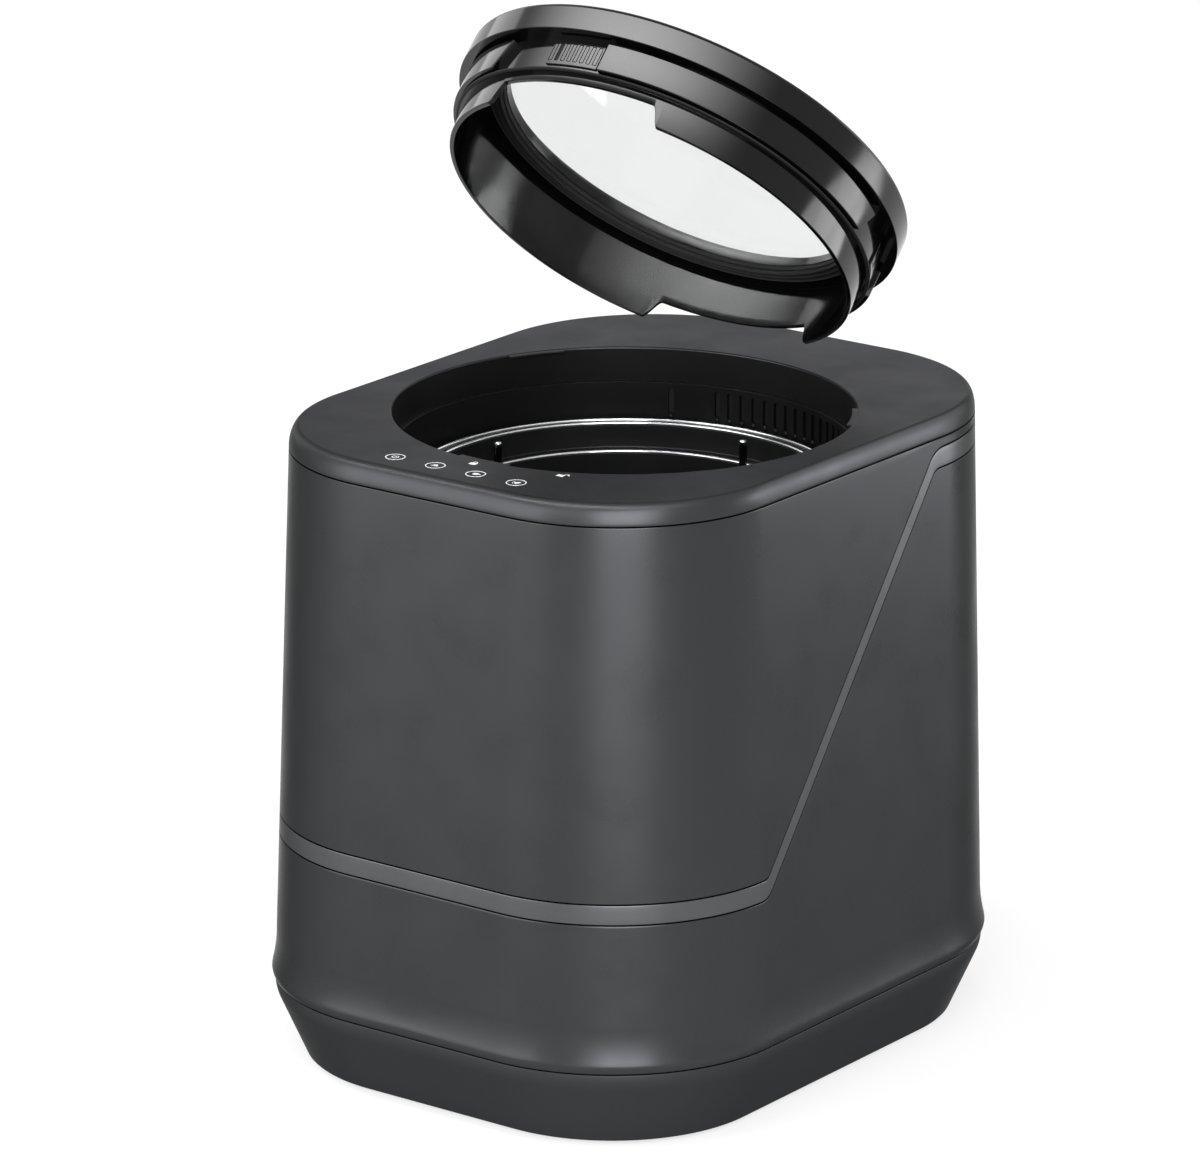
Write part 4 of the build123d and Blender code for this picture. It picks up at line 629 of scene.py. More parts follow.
class COMPOSTER_OT_base(bpy.types.Operator):
    """Base pan with its upright lip and slanting foot"""

    bl_idname = "composter.base"
    bl_label = "Base"

    def execute(self, context):
        shell = sizes("shell")
        top = shell.base_seam
        knee = top - shell.base_lip
        rows = [(at(FOOT + rise), inset) for rise, inset in FOOT_EDGE]
        rows.append((at(FOOT + (knee - FOOT) / 2), 0.0))
        rows += [(at(knee + shell.base_soft * k / 4), 0.0) for k in range(-4, 5)]
        rows += edge_rows(shell, at(top), 1, 0.0, shell.wall)
        rows += [(at(knee), shell.wall), (at(FOOT + shell.wall), shell.wall)]
        pan = lofted(rings_of(shell, rows), capped=True)
        pan = merged([pan, lap(shell, at(knee), at(top + LAP))])
        piece_from(pan, "base", "housing", "base", ["base_pan"])
        return {"FINISHED"}


class COMPOSTER_OT_shells(bpy.types.Operator):
    """Lower shell, trim strip and front panel"""

    bl_idname = "composter.shells"
    bl_label = "Shells"

    def execute(self, context):
        shell = sizes("shell")
        half = shell.seam / 2

        def lower_line(rise):
            return trim_line(shell, rise, shell.outer_low_bend, shell.inner_high_bend)

        def upper_line(rise):
            bends = shell.inner_low_bend, shell.outer_high_bend
            return trim_line(shell, rise + shell.trim_height, *bends)

        top = lower_line(-half)
        level = at(shell.trim_low - half - LEVEL_BELOW_TRIM)
        lowest_row = at(SHELL_LOW + shell.edge)
        waist = at(shell.waist)
        rows = edge_rows(shell, at(SHELL_LOW), -1, 0.0, shell.wall)[::-1]
        rows += [(between(lowest_row, waist, k / 16), 0.0) for k in range(1, 17)]
        rows += [(between(level, top, k / 12), 0.0) for k in range(12)]
        rows += edge_rows(shell, top, 1, 0.0, shell.wall)
        rows += [(between(level, top, share), shell.wall) for share in (0.66, 0.33, 0)]
        rows += [(waist, shell.wall), (at(shell.bulge), shell.wall)]
        lower = lofted(rings_of(shell, rows))
        piece = piece_from(
            lower, "shell", "housing", "shell", ["lower_shell"]
        )
        cut_away(piece, self.rear_openings())

        strip = lofted(wall_rings(shell, lower_line(half), upper_line(-half), [0.33, 0.66]))
        trim = merged([strip, lap(shell, lower_line(-TRIM_LAP), upper_line(TRIM_LAP))])
        piece_from(trim, "trim", "housing", "trim", ["trim_strip"])

        levels = [k / 14 for k in range(1, 14)]
        panel = lofted(wall_rings(shell, upper_line(half), at(SHELL_HIGH), levels))
        piece_from(panel, "panel", "housing", "shell", ["front_panel"])
        return {"FINISHED"}

    def rear_openings(self):
        """Holes in the rear for the filter drawer, the grille and the power inlet."""
        cutter = bmesh.new()
        for node, play in REAR_PLAY.items():
            lowest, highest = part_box(node)
            size = highest - lowest + 2 * Vector((play, 0, play))
            centre = (highest + lowest) / 2
            size.y = REAR_CUT
            centre.y = highest.y
            block(cutter, centre, size)
        return cutter


class COMPOSTER_OT_cover(bpy.types.Operator):
    """Top cover with its rounded edge, flat top, collar and three lugs"""

    bl_idname = "composter.cover"
    bl_label = "Top cover"

    def execute(self, context):
        shell = sizes("shell")
        opening = sizes("opening")
        edge = shell.edge
        seam = shell.cover_seam
        rows = edge_rows(shell, at(seam), -1, 0.0, shell.wall)[::-1]
        rings = rings_of(shell, rows[:3])
        first_turn = math.asin(edge / (TOP - seam))
        steps = 18
        turns = [first_turn + (QUARTER_TURN - first_turn) * k / steps for k in range(steps + 1)]
        rings += [cover_ring(shell, turn) for turn in turns]
        outline = rings[-1]
        radius, rounding = opening.radius, opening.edge
        collar = radius + opening.collar
        circles = [
            (radius + rounding * (1 - math.sin(turn)), TOP - rounding * (1 - math.cos(turn)))
            for turn in (QUARTER_TURN * k / 4 for k in range(5))
        ]
        circles += [(radius, (TOP + LEDGE) / 2), (radius, LEDGE)]
        circles += [(collar, LEDGE), (collar, TOP - shell.wall)]
        rings += [circle_ring(outline, *circle) for circle in circles]
        under = (QUARTER_TURN, math.pi / 3, math.pi / 6)
        rings += [cover_ring(shell, turn, shell.wall, shell.wall) for turn in under]
        cover = lofted(rings)
        cover = merged([cover, lap(shell, at(seam - LAP), at(seam + shell.wall))])
        piece_from(cover, "cover", "housing", "cover", ["top_cover"])

        top = TOP - opening.lug_drop
        foot = top - opening.lug_height
        profile = section(radius - opening.lug_reach, radius + opening.collar / 2, foot, top)
        lugs = []
        for turn in LUG_TURNS:
            lug = turned(profile, turn - opening.lug_angle / 2, opening.lug_angle)
            soften(lug, LUG_ROUND, 3)
            lugs.append(lug)
        piece_from(merged(lugs), "lugs", "housing", "cover")
        return {"FINISHED"}


class COMPOSTER_OT_rear(bpy.types.Operator):
    """Drawer front, grille, power inlet and feet"""

    bl_idname = "composter.rear"
    bl_label = "Rear parts and feet"

    def execute(self, context):
        dressed(
            (
                ("filter_cover", "drawer_front", "filter_drawer", "shell_graphite", "shell"),
                ("rear_grille", "grille", "housing", "shell_graphite", "shell"),
                ("power_inlet", "inlet", "housing", "inner_black", "inlet"),
                ("rubber_feet", "feet", "housing", "rubber_black", "rubber"),
            ),
            REAR_ROUND,
        )
        return {"FINISHED"}


# ---------------------------------------------------------------- opening and bucket
LEDGE_ROUND = 0.4 * MM
LEVEL_WITHIN = 0.01 * MM
LINER_SHARP = math.radians(24)
LONE_SLOT = math.radians(114.5)
BUMP = 1.5 * MM  # radius of the ball that a bump is squeezed from
BUMP_SQUEEZE = (0.55, 0.75, 1.0)
BUMP_DROP = 1.6 * MM
SHADE_SLEEVE_INSIDE = 0.05 * MM  # faces of the black sleeve, painted shade on the wall of the opening, from that wall
SHADE_SLEEVE_OUTSIDE = 0.5 * MM
SHADE_SHEET = 0.4 * MM  # thickness of the black sheet behind the slots, painted shade
SHADE_SHEET_DROP = 3 * MM  # how far it reaches below the slots
BUCKET_ROUND = 0.7 * MM


class COMPOSTER_OT_chamber(bpy.types.Operator):
    """Chamber wall with its ledge and the row of vent slots"""

    bl_idname = "composter.chamber"
    bl_label = "Chamber"

    def execute(self, context):
        opening = sizes("opening")
        liner = from_node("chamber_liner", 0.0)
        soften(
            liner, LEDGE_ROUND, 3,
            lambda edge: all(abs(vert.co.z - LEDGE) < LEVEL_WITHIN for vert in edge.verts),
        )
        piece = piece_from(
            liner, "chamber", "housing", "chamber", ["chamber_liner"]
        )
        piece.data.set_sharp_from_angle(angle=LINER_SHARP)
        turns = [opening.first_slot + opening.slot_pitch * k for k in range(opening.slots)]
        bumps = merged([self.bump(opening, turn) for turn in [*turns, LONE_SLOT]])
        piece_from(bumps, "vent_bumps", "housing", "chamber")

        # Black sleeve over the wall of the opening: painted shade, darker than the cover's own finish.
        near, far = opening.radius - SHADE_SLEEVE_INSIDE, opening.radius + SHADE_SLEEVE_OUTSIDE
        shade_sleeve = turned(section(near, far, LEDGE, TOP - 1.2 * opening.edge))
        piece_from(shade_sleeve, "shade_sleeve", "housing", "chamber")

        # Black sheet behind the vent slots: painted shade, so that the slots read dark.
        near = opening.chamber + opening.liner
        foot, head = opening.slot_foot - SHADE_SHEET_DROP, LEDGE - opening.liner
        shade_sheet = turned(section(near, near + SHADE_SHEET, foot, head))
        piece_from(shade_sheet, "shade_sheet", "housing", "rubber")
        return {"FINISHED"}

    def bump(self, opening, turn):
        """Small swelling at the foot of a vent slot."""
        bm = bmesh.new()
        bmesh.ops.create_uvsphere(bm, u_segments=20, v_segments=12, radius=BUMP)
        squeeze = Matrix.Diagonal((*BUMP_SQUEEZE, 1))
        place = Matrix.Translation(polar(opening.chamber, turn, opening.slot_foot - BUMP_DROP))
        bm.transform(place @ Matrix.Rotation(turn, 4, "Z") @ squeeze)
        return bm


class COMPOSTER_OT_bucket(bpy.types.Operator):
    """Bucket, its bright beads and posts, and the bail with its grip"""

    bl_idname = "composter.bucket"
    bl_label = "Bucket"

    def execute(self, context):
        opening = sizes("opening")
        wall = opening.wall
        inside, neck, rim = opening.bucket_radius, opening.neck, opening.rim
        boss = BUCKET_FOOT + opening.boss
        floor = BUCKET_FOOT + opening.floor
        rim_top = low("bucket_rim_bead").z
        bucket = turned(
            [
                (opening.bush, BUCKET_FOOT),
                (inside + wall, BUCKET_FOOT),
                (inside + wall, STEP - wall),
                (neck + wall, STEP - wall),
                (neck + wall, rim_top - wall),
                (rim, rim_top - wall),
                (rim, rim_top),
                (neck, rim_top),
                (neck, STEP),
                (inside, STEP),
                (inside, floor),
                (opening.bush + wall, floor),
                (opening.bush + wall, boss),
                (opening.bush, boss),
            ]
        )
        soften(bucket, BUCKET_ROUND, 3)
        piece_from(bucket, "bucket_wall", "bucket", "pot", ["bucket"])
        for node in ("bucket_rim_bead", "bucket_neck_bead", "bucket_step_bead"):
            lowest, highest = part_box(node)
            middle = highest.x - opening.bead
            bead = turned(
                [
                    (middle + opening.bead * math.cos(t), lowest.z + opening.bead * math.sin(t))
                    for t in (math.pi * k / 12 for k in range(13))
                ]
            )
            name = node.replace("bucket_", "")
            piece_from(bead, name, "bucket", "bright", [node])
        dressed(
            (
                ("shaft_bush", "bush", "bucket", "brass", "brass"),
                ("bucket_handle", "bail", "handle", "steel_bright", "bright"),
                ("handle_grip", "grip", "handle", "inner_black", "inlet"),
                ("agitator_shaft", "stirrer_shaft", "agitator", "steel_plain", "steel"),
                ("agitator_arms", "stirrer_arms", "agitator", "steel_plain", "steel"),
                ("agitator_cap", "stirrer_cap", "agitator", "steel_plain", "steel"),
            )
        )
        self.posts(opening)
        return {"FINISHED"}

    def posts(self, opening):
        """Black posts with bright tips, split where the tips begin; the tips' bright steel is a painted glint on
        the posts' rounded tops.
        """
        cut = Vector((0, 0, high("shear_posts").z - opening.tip))
        for name, slot, finish, side in (
            ("posts", "coated_pot", "lid", 1),
            ("post_glint_tips", "steel_bright", "bright", -1),
        ):
            post = from_node("shear_posts")
            parts = [*post.verts, *post.edges, *post.faces]
            bmesh.ops.bisect_plane(
                post, geom=parts, plane_co=cut, plane_no=(0, 0, side), clear_outer=True
            )
            bmesh.ops.holes_fill(post, edges=[edge for edge in post.edges if edge.is_boundary])
            replaced = ["shear_posts"] if side == 1 else []
            piece_from(post, name, "bucket", finish, replaced)


# ---------------------------------------------------------------- printed marks
STROKE = 0.45 * MM
MARK_STEP = math.radians(6)


def stamp(places, heights):
    """Thin solid with the given outline."""
    bm = bmesh.new()
    bm.faces.new([bm.verts.new((x, y, heights[0])) for x, y in places])
    thickened(bm, heights[1] - heights[0])
    return bm


def arc_mark(inner, outer, start, sweep, centre, heights):
    """Thin solid in the shape of an arc or a ring."""
    return turned(section(inner, outer, *heights), start, sweep, MARK_STEP, centre)


class COMPOSTER_OT_marks(bpy.types.Operator):
    """Printed rings and signs over the touch points, and the two lock marks"""

    bl_idname = "composter.marks"
    bl_label = "Printed marks"

    def execute(self, context):
        marks = sizes("marks")
        lowest = low("touch_marks")
        heights = (lowest.z, lowest.z + marks.height)
        y = lowest.y + marks.ring
        shapes = []
        signs = (self.power_sign, self.heap_sign, self.pot_sign, self.drop_sign)
        step = (marks.last - marks.first) / 3
        for k, sign in enumerate(signs):
            centre = (marks.first + step * k, y)
            shapes.append(
                arc_mark(marks.ring - marks.line, marks.ring, 0, FULL_TURN, centre, heights)
            )
            shapes += sign(centre, heights)
        for turn, opened in ((marks.locked, False), (marks.unlocked, True)):
            spot = polar(marks.lock_circle, turn, 0)
            shapes += self.lock_sign((spot.x, spot.y), marks, heights, opened)
        piece_from(
            merged(shapes), "marks", "housing", "mark", ["touch_marks"]
        )
        return {"FINISHED"}

    def bar(self, centre, size, heights):
        bm = bmesh.new()
        middle = Vector((*centre, sum(heights) / 2))
        block(bm, middle, (*size, heights[1] - heights[0]))
        return bm

    def power_sign(self, centre, heights):
        radius, line = 1.75 * MM, 0.42 * MM
        gap = math.radians(35)
        ring = arc_mark(
            radius - line, radius, QUARTER_TURN + gap, FULL_TURN - 2 * gap, centre, heights
        )
        return [ring, self.bar((centre[0], centre[1] + 1.2 * MM), (line, 1.9 * MM), heights)]

    def heap_sign(self, centre, heights):
        x, y = centre
        dome = arc_mark(0.2 * MM, 1.25 * MM, 0, math.pi, (x, y - 0.1 * MM), heights)
        tray = self.bar((x, y - 0.75 * MM), (3.9 * MM, STROKE), heights)
        peak = self.bar((x, y + 1.4 * MM), (STROKE, 0.6 * MM), heights)
        return [dome, tray, peak]

    def pot_sign(self, centre, heights):
        x, y = centre
        half, foot, depth = 1.45 * MM, 1.0 * MM, 1.7 * MM
        outline = [(x - half, y), (x - foot, y - depth), (x + foot, y - depth), (x + half, y)]
        bowl = stamp([(px, py + 0.5 * MM) for px, py in outline], heights)
        lid = self.bar((x, y + 0.9 * MM), (2.9 * MM, 0.4 * MM), heights)
        knob = self.bar((x, y + 1.4 * MM), (0.6 * MM, 0.5 * MM), heights)
        grip = self.bar((x + 2.0 * MM, y + 0.2 * MM), (1.2 * MM, STROKE), heights)
        return [bowl, lid, knob, grip]

    def drop_sign(self, centre, heights):
        x, y = centre
        radius = 1.15 * MM
        drop = bmesh.new()
        verts = bmesh.ops.create_circle(drop, segments=28, radius=radius, cap_ends=True)["verts"]
        for vert in verts:
            if vert.co.y > 0:
                vert.co.x *= 1 - (vert.co.y / radius) ** 1.5
                vert.co.y *= 2.0
        thickened(drop, heights[1] - heights[0])
        tilt = Matrix.Rotation(math.radians(-38), 4, "Z")
        drop.transform(Matrix.Translation((x + 0.5 * MM, y - 0.3 * MM, heights[0])) @ tilt)
        ripple = arc_mark(
            1.75 * MM, 2.1 * MM, math.radians(150), math.radians(95), (x + 0.3 * MM, y), heights
        )
        return [drop, ripple]

    def lock_sign(self, centre, marks, heights, opened):
        x, y = centre
        width, height = marks.lock_width, 2.5 * MM
        body = self.bar((x, y - height / 2), (width, height), heights)
        soften(body, 0.3 * MM, 3)
        side = width * 0.62 if opened else 0.0
        shackle = arc_mark(
            0.85 * MM, 1.3 * MM, 0, math.pi, (x + side, y + 0.5 * MM), heights
        )
        posts = [
            self.bar((x + side + way * 1.075 * MM, y + 0.2 * MM), (STROKE, 0.7 * MM), heights)
            for way in (-1, 1)
        ]
        return [body, shackle, *posts]


# ---------------------------------------------------------------- lid
FIT = 0.05 * MM  # between pieces of the lid that sit on one another
PLATE_LEAD = math.radians(1)  # from a slotted plate to the pad after it
PLATE_ROUND = 0.2 * MM
SLOT_CORNER = 0.3  # rounding of a slot's corners, as a share of its width
GROOVE = (1.0 * MM, 0.45 * MM)  # thickness of the block in a slot, and how far it stands out
LAND = (0.6 * MM, 0.0)
# black block sunk in the one open slot of a plate: painted shade of the open slot
SLOT_SHADE_BLOCK = (0.2 * MM, -0.3 * MM)
SHADE_BLOCK_PLAY = 0.1 * MM
BAND_FOOT_ROUND = 0.35 * MM
BAND_TOP_CUT = 0.5 * MM
SLEEVE_DROP = 0.6 * MM  # top of the sleeve below the top of the band
SLEEVE_EDGE = 0.5 * MM
SLEEVE_POINTS = 720
NOTCH = math.radians(3.6)  # angle over which the skirt's edge steps
PAD_ROOT = 0.5 * MM  # how far a pad reaches into the sleeve
PAD_TAPER = math.radians(9)  # part of a pad that leans, and how steeply
PAD_LEAN = math.radians(30)
PAD_ROUND = 0.5 * MM
SEAL_EDGE = 0.25 * MM
WINDOW_ROUND = 0.5 * MM
GLASS_PLAY = 0.1 * MM
GLASS_ROUND = 0.4 * MM
GASKET_BACK = 2 * MM  # lower face of the gasket, and its ridges' tips, below the frame
GASKET_TIP = 4 * MM
GASKET_INSET = (0.3 * MM, 0.4 * MM)  # at its inner and its outer edge
RIDGES = [(1.6 + 2.8 * k) * MM for k in range(3)]  # from the inside of the frame
RIDGE_HALF = 0.5 * MM


def lid_top(lid):
    """Height of the top of the closed lid."""
    return TOP + lid.gap + lid.band_height


def raising():
    """From the lid's closed place to the raised one that the frame rests in."""
    joint = next(j for j in frame["joints"] if j["name"] == "lid_tilt")
    pivot = Matrix.Translation(joint["pos_m"])
    tilt = Matrix.Rotation(-math.radians(joint["range_deg"][0]), 4, Vector(joint["axis"]))
    return pivot @ tilt @ pivot.inverted()


def smooth_step(value):
    value = min(1.0, max(0.0, value))
    return value * value * (3 - 2 * value)


class COMPOSTER_OT_lid_ring(bpy.types.Operator):
    """Band, collar with its skirt and locking pads, slotted plates and seal"""

    bl_idname = "composter.lid_ring"
    bl_label = "Lid ring"

    def execute(self, context):
        lid = sizes("lid")
        top = lid_top(lid)
        raise_up = raising()

        def put(bm, name, finish, replaced=()):
            bm.transform(raise_up)
            return piece_from(bm, name, "lid_ring", finish, replaced)

        put(self.band(lid, top), "lid_band_gloss", "lid", ["lid_band"])
        put(self.sleeve(lid, top), "lid_sleeve", "lid", ["lid_collar"])
        pads = [self.pad(lid, top, k * FULL_TURN / 3) for k in range(3)]
        put(merged(pads), "lid_pads", "lid")
        seal_low = top - lid.seal_top - lid.seal_height
        middle = seal_low + lid.seal_height / 2
        half = lid.seal_height / 2 - SEAL_EDGE
        seat = lid.seal_seat + FIT
        crown = [
            (lid.seal - half + half * math.cos(t), middle + half * math.sin(t))
            for t in (math.pi * k / 8 - QUARTER_TURN for k in range(9))
        ]
        seal = turned([(seat, middle + half), (seat, middle - half), *crown])
        put(seal, "seal", "rubber", ["lid_seal"])
        plates, grooves, lands, shade_blocks = self.plates(lid, top)
        piece = put(plates, "slotted_plates", "plate", ["lid_vent_plates"])
        grooves.transform(raise_up)
        cut_away(piece, grooves)
        put(lands, "plate_lands", "plate")
        # Black blocks in the open slots: painted shade.
        put(shade_blocks, "plate_slot_shade", "rubber")
        return {"FINISHED"}

    def plates(self, lid, top):
        """Plates whose slots are grooves round a land, but for one that holds a black block sunk below the face,
        painted shade where the slot is open.
        """
        foot, head = top - lid.plate_foot, top - lid.plate_top
        profile = section(lid.collar + FIT, lid.plate, foot, head)
        pitch = lid.plate_angle / lid.plate_slots
        solids, grooves, lands, shade_blocks = [], [], [], []

        def slot(turn, width, height, deep, stand):
            bm = bmesh.new()
            spot = polar(lid.plate + stand - deep / 2, turn, (foot + head) / 2)
            block(bm, spot, (deep, width, height), turn)
            soften(bm, SLOT_CORNER * width, 3, lambda edge: abs(edge.calc_length() - deep) < MERGE)
            return bm

        for k in range(3):
            start = lid.pad_from - PLATE_LEAD - lid.plate_angle + FULL_TURN / 3 * k
            plate = turned(profile, start, lid.plate_angle)
            soften(plate, PLATE_ROUND)
            solids.append(plate)
            for n in range(lid.plate_slots):
                turn = start + pitch * (n + 0.5)
                width, height = lid.slot_width, lid.slot_height
                grooves.append(slot(turn, width, height, *GROOVE))
                # the second slot gets a black block instead of a land: painted shade of an open slot
                if n == 1:
                    shade_blocks.append(slot(turn, width - SHADE_BLOCK_PLAY, height - SHADE_BLOCK_PLAY, *SLOT_SHADE_BLOCK))
                else:
                    line = 2 * lid.slot_line
                    lands.append(slot(turn, width - line, height - line, *LAND))
        return merged(solids), merged(grooves), merged(lands), merged(shade_blocks)

    def band(self, lid, top):
        """Gloss band with a rounded upper edge."""
        inner = lid.collar + FIT
        foot = top - lid.band_height
        upper, lower = lid.band_round, BAND_FOOT_ROUND
        quarter = [QUARTER_TURN * k / 8 for k in range(9)]
        profile = [(inner, foot)]
        profile += [
            (lid.band - lower + lower * math.sin(t), foot + lower - lower * math.cos(t))
            for t in quarter
        ]
        profile += [
            (lid.band - upper + upper * math.cos(t), top - upper + upper * math.sin(t))
            for t in quarter
        ]
        profile += [(inner + BAND_TOP_CUT, top), (inner, top - BAND_TOP_CUT)]
        return turned(profile, step=FINE_STEP)

    def sleeve(self, lid, top):
        """Collar and skirt, with the groove of the seal and the skirt's stepped edge."""
        turns = [FULL_TURN * k / SLEEVE_POINTS for k in range(SLEEVE_POINTS)]

        def edge_height(turn):
            turn = (turn - lid.short_from) % math.pi
            width = lid.short_to - lid.short_from
            into = smooth_step((turn + NOTCH / 2) / NOTCH)
            into *= smooth_step((width + NOTCH / 2 - turn) / NOTCH)
            wrapped = smooth_step((turn - math.pi + NOTCH / 2) / NOTCH)
            return lid.long_edge - (lid.long_edge - lid.short_edge) * max(into, wrapped)

        def ring(radius, h=None, above=0.0):
            return [
                polar(radius, turn, top - (edge_height(turn) - above if h is None else h))
                for turn in turns
            ]

        inside, skirt, collar, edge = lid.inside, lid.skirt, lid.collar, SLEEVE_EDGE
        seal_foot = lid.seal_top + lid.seal_height
        return lofted(
            [
                ring(inside, SLEEVE_DROP),
                ring(collar, SLEEVE_DROP),
                ring(collar, lid.seal_top),
                ring(lid.seal_seat, lid.seal_top),
                ring(lid.seal_seat, seal_foot),
                ring(collar, seal_foot),
                ring(collar, lid.skirt_top),
                ring(skirt, lid.skirt_top),
                ring(skirt, above=edge),
                ring(skirt - BEVELLED * edge, above=BEVELLED * edge),
                ring(skirt - edge),
                ring(inside + edge),
                ring(inside + BEVELLED * edge, above=BEVELLED * edge),
                ring(inside, above=edge),
                ring(inside, lid.skirt_top),
            ]
        )

    def pad(self, lid, top, turn):
        """Locking pad with an upright first end and a slanted last one."""
        head, foot = top - lid.pad_top, top - lid.pad_foot
        profile = section(lid.collar - PAD_ROOT, lid.pad, foot, head)
        sweep = lid.pad_to - lid.pad_from
        pad = turned(profile, lid.pad_from + turn, sweep)
        lean = math.tan(PAD_LEAN) / lid.pad
        for vert in pad.verts:
            flat = Vector((vert.co.x, vert.co.y - AXIS_Y))
            swept = (math.atan2(flat.y, flat.x) - lid.pad_from - turn) % FULL_TURN
            share = min(1.0, max(0.0, (swept - (sweep - PAD_TAPER)) / PAD_TAPER))
            if swept > FULL_TURN - 0.1:
                share = 0.0
            shift = lean * (head - vert.co.z) * share
            vert.co = polar(flat.length, swept + lid.pad_from + turn - shift, vert.co.z)
        soften(pad, PAD_ROUND, 3)
        return pad


class COMPOSTER_OT_window(bpy.types.Operator):
    """Window frame, glass and the gasket under them"""

    bl_idname = "composter.window"
    bl_label = "Lid window"

    def execute(self, context):
        lid = sizes("lid")
        top = lid_top(lid)
        raise_up = raising()
        under = top - lid.window_height
        outer = lid.inside - lid.turn_gap
        seat = top - lid.glass_drop - lid.glass
        frame_ring = turned(
            [
                (lid.window_in, under),
                (outer, under),
                (outer, top),
                (lid.window_seat, top),
                (lid.window_seat, seat),
                (lid.window_in, seat),
            ],
            step=FINE_STEP,
        )
        soften(frame_ring, WINDOW_ROUND, 3)
        glass = bmesh.new()
        radius = lid.window_seat - GLASS_PLAY
        bmesh.ops.create_cone(
            glass, cap_ends=True, segments=240, radius1=radius, radius2=radius, depth=lid.glass,
            matrix=Matrix.Translation((0, AXIS_Y, seat + lid.glass / 2)),
        )
        soften(glass, GLASS_ROUND)
        gasket = turned(self.gasket_profile(lid, under), step=FINE_STEP)
        for bm, name, slot, finish, node in (
            (frame_ring, "window_ring", "lid_black", "lid", "window_frame"),
            (glass, "window", "window_clear", "window", "window_glass"),
            (gasket, "ridged_gasket", "rubber_black", "rubber", "window_gasket"),
        ):
            bm.transform(raise_up)
            piece_from(bm, name, "lid_window", finish, [node])
        return {"FINISHED"}

    def gasket_profile(self, lid, under):
        """Flat back under the window frame, with three rounded ridges below it."""
        back, tip, half = under - GASKET_BACK, under - GASKET_TIP, RIDGE_HALF
        first, last = lid.window_in + GASKET_INSET[0], lid.inside - lid.turn_gap - GASKET_INSET[1]
        profile = [(first, under), (first, back)]
        for ridge in RIDGES:
            middle = lid.window_in + ridge
            profile += [
                (middle - half, back),
                (middle - half, tip + half),
                (middle - 0.5 * half, tip + 0.13 * half),
                (middle, tip),
                (middle + 0.5 * half, tip + 0.13 * half),
                (middle + half, tip + half),
                (middle + half, back),
            ]
        return profile + [(last, back), (last, under)]


# ---------------------------------------------------------------- finishes
PATCH = 0.03  # size of the mottling


def surface(name, rgb, roughness, **look):
    """Material with mottled colour and gloss and a fine grain, all in object coordinates.

    look: metallic, specular, rim (tint of the gloss at grazing angles), grain (size in
    metres), depth (of the grain, in metres), tint (change of the colour), spread (change of
    the roughness), stretch (the grain's proportions).
    """
    material = bpy.data.materials.new(name)
    material.use_nodes = True
    nodes, links = material.node_tree.nodes, material.node_tree.links
    nodes.clear()
    output = nodes.new("ShaderNodeOutputMaterial")
    shader = nodes.new("ShaderNodeBsdfPrincipled")
    links.new(shader.outputs["BSDF"], output.inputs["Surface"])
    shader.inputs["Metallic"].default_value = look.get("metallic", 0.0)
    shader.inputs["Specular IOR Level"].default_value = look.get("specular", 0.5)
    rim = look.get("rim", 1.0)
    shader.inputs["Specular Tint"].default_value = (rim, rim, rim, 1)
    place = nodes.new("ShaderNodeTexCoord")
    stretch = nodes.new("ShaderNodeMapping")
    stretch.inputs["Scale"].default_value = look.get("stretch", (1, 1, 1))
    links.new(place.outputs["Object"], stretch.inputs["Vector"])

    def noise(size, detail, roughened, source):
        texture = nodes.new("ShaderNodeTexNoise")
        texture.inputs["Scale"].default_value = 1 / size
        texture.inputs["Detail"].default_value = detail
        texture.inputs["Roughness"].default_value = roughened
        links.new(source, texture.inputs["Vector"])
        return texture.outputs["Fac"]

    patch = noise(PATCH, 3, 0.55, place.outputs["Object"])
    grain = noise(look.get("grain", 0.0008), 2, 0.6, stretch.outputs["Vector"])

    tint = look.get("tint", 0.05)
    shade = nodes.new("ShaderNodeMix")
    shade.data_type = "RGBA"
    darker = [channel * (1 - tint) for channel in rgb]
    lighter = [min(1.0, channel * (1 + tint)) for channel in rgb]
    both = nodes.new("ShaderNodeMath")
    both.operation = "MULTIPLY_ADD"
    both.inputs[1].default_value = 0.5
    halved = nodes.new("ShaderNodeMath")
    halved.operation = "MULTIPLY"
    halved.inputs[1].default_value = 0.5
    links.new(grain, halved.inputs[0])
    links.new(patch, both.inputs[0])
    links.new(halved.outputs[0], both.inputs[2])
    links.new(both.outputs[0], shade.inputs["Factor"])
    shade.inputs["A"].default_value = (*darker, 1)
    shade.inputs["B"].default_value = (*lighter, 1)
    links.new(shade.outputs["Result"], shader.inputs["Base Color"])

    spread = look.get("spread", 0.05)
    gloss = nodes.new("ShaderNodeMapRange")
    gloss.inputs["From Min"].default_value = 0.3
    gloss.inputs["From Max"].default_value = 0.7
    gloss.inputs["To Min"].default_value = max(0.01, roughness - spread)
    gloss.inputs["To Max"].default_value = min(1.0, roughness + spread)
    links.new(patch, gloss.inputs["Value"])
    links.new(gloss.outputs["Result"], shader.inputs["Roughness"])

    bump = nodes.new("ShaderNodeBump")
    bump.inputs["Strength"].default_value = 1.0
    bump.inputs["Distance"].default_value = look.get("depth", 0.00001)
    links.new(grain, bump.inputs["Height"])
    links.new(bump.outputs["Normal"], shader.inputs["Normal"])
    return shader


